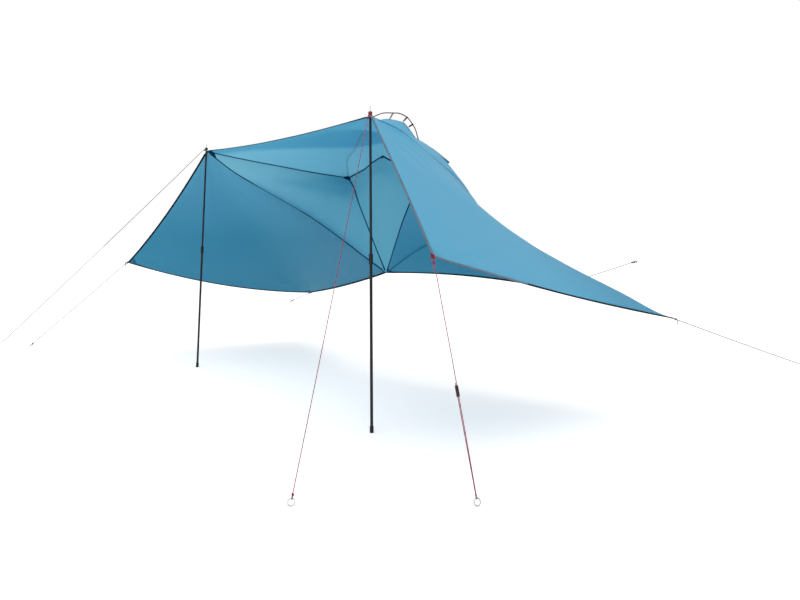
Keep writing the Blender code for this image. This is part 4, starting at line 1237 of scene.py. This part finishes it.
def make_floor():
    """A pale floor that shines a little for the camera, so that only its shadow shows."""
    m = Nodes("floor", 1.0, specular=0.0)
    m.set("Base Color", (0.86, 0.86, 0.86))
    path = m.add("ShaderNodeLightPath")
    nothing, glow = (m.add("ShaderNodeEmission", Strength=strength).outputs[0] for strength in (0.0, 0.4))
    lit = m.made("ShaderNodeMixShader", range(3), (path.outputs["Is Camera Ray"], nothing, glow), 0)
    m.surface("ShaderNodeAddShader", (), m.shader.outputs[0], lit)
    corners = [(x * FLOOR_HALF, y * FLOOR_HALF, -0.001) for x, y in ((-1, -1), (1, -1), (1, 1), (-1, 1))]
    mesh_object("floor", corners, [(0, 1, 2, 3)], m.material)


def finish_node(material, slot, *nodes):
    for name in nodes:
        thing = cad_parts[name]
        thing.data.materials.clear()
        thing.data.materials.append(material)


bpy.context.scene.view_settings.view_transform = "Standard"
make_camera()
make_world()
make_sun("key", 1.05, (0.4, -0.15, 0.9))
make_sun("fill", 0.7, (0.62, -0.72, 0.3))
make_floor()

# Outside cloth, with painted shade that darkens it towards the tail along y.
OUTSIDE = cloth_material("cloth_outside_shaded_tail", (0.11, 0.435, 0.655), (0.095, 0.405, 0.625), 0.3, None,
                         ("Y", 0.0, 1.1, (0.02, 0.21, 0.36)))
# Inside cloth: a darker copy of the cloth as painted shade, with painted light that lightens it towards the
# top along z.
INSIDE = cloth_material("cloth_inside_painted_light_and_shade", (0.022, 0.25, 0.43), (0.015, 0.225, 0.395), 0.35, None,
                        ("Z", 1.2, 1.95, (0.13, 0.45, 0.66)))
# Outside of the roof, hood, left gable and rear: a lighter copy of the outside cloth, painted light.
LIT_ROOF_OUTSIDE = cloth_material("cloth_roof_outside", (0.16, 0.5, 0.7), (0.14, 0.47, 0.67), 0.42)
# Inside of the roof and hood: a lighter copy of the inside cloth, painted light, with painted shade on the
# front part before the fold line.
LIT_ROOF_INSIDE = cloth_material("cloth_roof_inside", (0.33, 0.72, 0.88), (0.3, 0.68, 0.84), 0.42,
                             (0.035, 0.36, 0.62))
# Inside of the left gable and rear: a lighter copy of the inside cloth, painted light, with painted shade
# that darkens it towards the back along y.
LIT_BACK_INSIDE = cloth_material("cloth_back_inside", (0.3, 0.64, 0.76), (0.27, 0.6, 0.72), 0.42, None,
                             ("Y", -0.1, 0.45, (0.11, 0.4, 0.53)))
TAPE = tape_material("seam_tape", (0.004, 0.09, 0.21), (0.015, 0.13, 0.27), through=(0.01, 0.1, 0.2))
SEAM_CLOTH = tape_material("seam_cloth", (0.1, 0.39, 0.6), (0.15, 0.46, 0.68), through=(0.15, 0.5, 0.7))
FAINT = tape_material("seam_inside_faint", (0.07, 0.36, 0.56), (0.1, 0.42, 0.62), through=(0.2, 0.6, 0.8))
# Inside face of the crest tape, as bright as the lit cloth round it: a painted glow.
PAINTED_GLOW_TAPE = tape_material("seam_inside_bright", (0.6, 0.92, 1.0), (0.6, 0.92, 1.0), through=(0.75, 1.0, 1.0))
EDGE = tape_material("edge_binding", (0.002, 0.009, 0.016), (0.012, 0.025, 0.04))
WARM = tape_material("edge_binding_warm", (0.15, 0.2, 0.27), (0.26, 0.29, 0.35))
WEB = tape_material("red_web", (0.3, 0.015, 0.03), (0.42, 0.05, 0.07))
STRAP = tape_material("red_web_dark", (0.07, 0.008, 0.012), (0.13, 0.02, 0.03))
RED_CORD = cord_material("red_cord", (0.34, 0.03, 0.06), (0.5, 0.12, 0.16), (0.04, 0.01, 0.02))
DARK_CORD = cord_material("dark_red_cord", (0.035, 0.008, 0.012), (0.08, 0.025, 0.03), (0.012, 0.005, 0.006))
PALE_CORD = cord_material("pale_cord", (0.03, 0.016, 0.02), (0.08, 0.05, 0.055), (0.012, 0.006, 0.008))
STEEL_BLACK = painted_material("black_steel", (0.003, 0.003, 0.0035), (0.012, 0.012, 0.013), 0.42)
RUBBER = painted_material("black_rubber", (0.012, 0.012, 0.012), (0.03, 0.03, 0.03), 0.8)
PLASTIC = painted_material("black_plastic", (0.006, 0.005, 0.005), (0.02, 0.018, 0.017), 0.5)
SLIDER = painted_material("brown_plastic", (0.03, 0.01, 0.01), (0.06, 0.03, 0.03), 0.5)
CAP_RED = painted_material("red_plastic", (0.2, 0.008, 0.02), (0.28, 0.02, 0.035), 0.45)
CAP_DARK = painted_material("dark_plastic", (0.03, 0.006, 0.009), (0.06, 0.015, 0.02), 0.5)
ROD = painted_material("hoop_rod", (0.03, 0.018, 0.018), (0.06, 0.04, 0.038), 0.5)
STEEL = painted_material("steel", (0.5, 0.5, 0.5), (0.62, 0.62, 0.62), 0.32, 1.0)

CORNERS, LINES = canopy_lines(SHEET_PARTS)
make_cords(CORNERS, RED_CORD, DARK_CORD, PALE_CORD, WEB)
CLOTH = Canopy(CORNERS, LINES)
SHEET = make_sheet(CLOTH, OUTSIDE, INSIDE, LIT_ROOF_OUTSIDE, LIT_ROOF_INSIDE, LIT_BACK_INSIDE)
make_tapes(CLOTH, LINES, TAPE, SEAM_CLOTH, FAINT, PAINTED_GLOW_TAPE, EDGE, WARM)
make_patches(CLOTH, LINES, TAPE, FAINT, WEB)
make_hoop_ties(canopy_lines(COARSE_PARTS)[1], STRAP)
make_peak_patches(WEB)

for side in ("left", "right"):
    for look, slot_name, nodes in ((STEEL_BLACK, "black_steel", ("pole_lower_", "pole_upper_")),
                                   (PLASTIC, "black_plastic", ("pole_collar_", "hoop_tip_")),
                                   (RUBBER, "black_rubber", ("pole_foot_",)),
                                   (STEEL, "steel", ("pole_spike_", "ground_ring_pole_",
                                                     "ground_ring_wing_"))):
        finish_node(look, slot_name, *(node + side for node in nodes))
finish_node(CAP_RED, "red_plastic", "pole_cap_right")
finish_node(CAP_DARK, "red_plastic", "pole_cap_left")
finish_node(STEEL, "steel", "ground_ring_tail_right")
finish_node(ROD, "hoop_rod", "hoop_rod")
finish_node(PLASTIC, "black_plastic", "hook_rear_right", "hook_tail_left")
finish_node(SLIDER, "black_plastic", "tensioner")
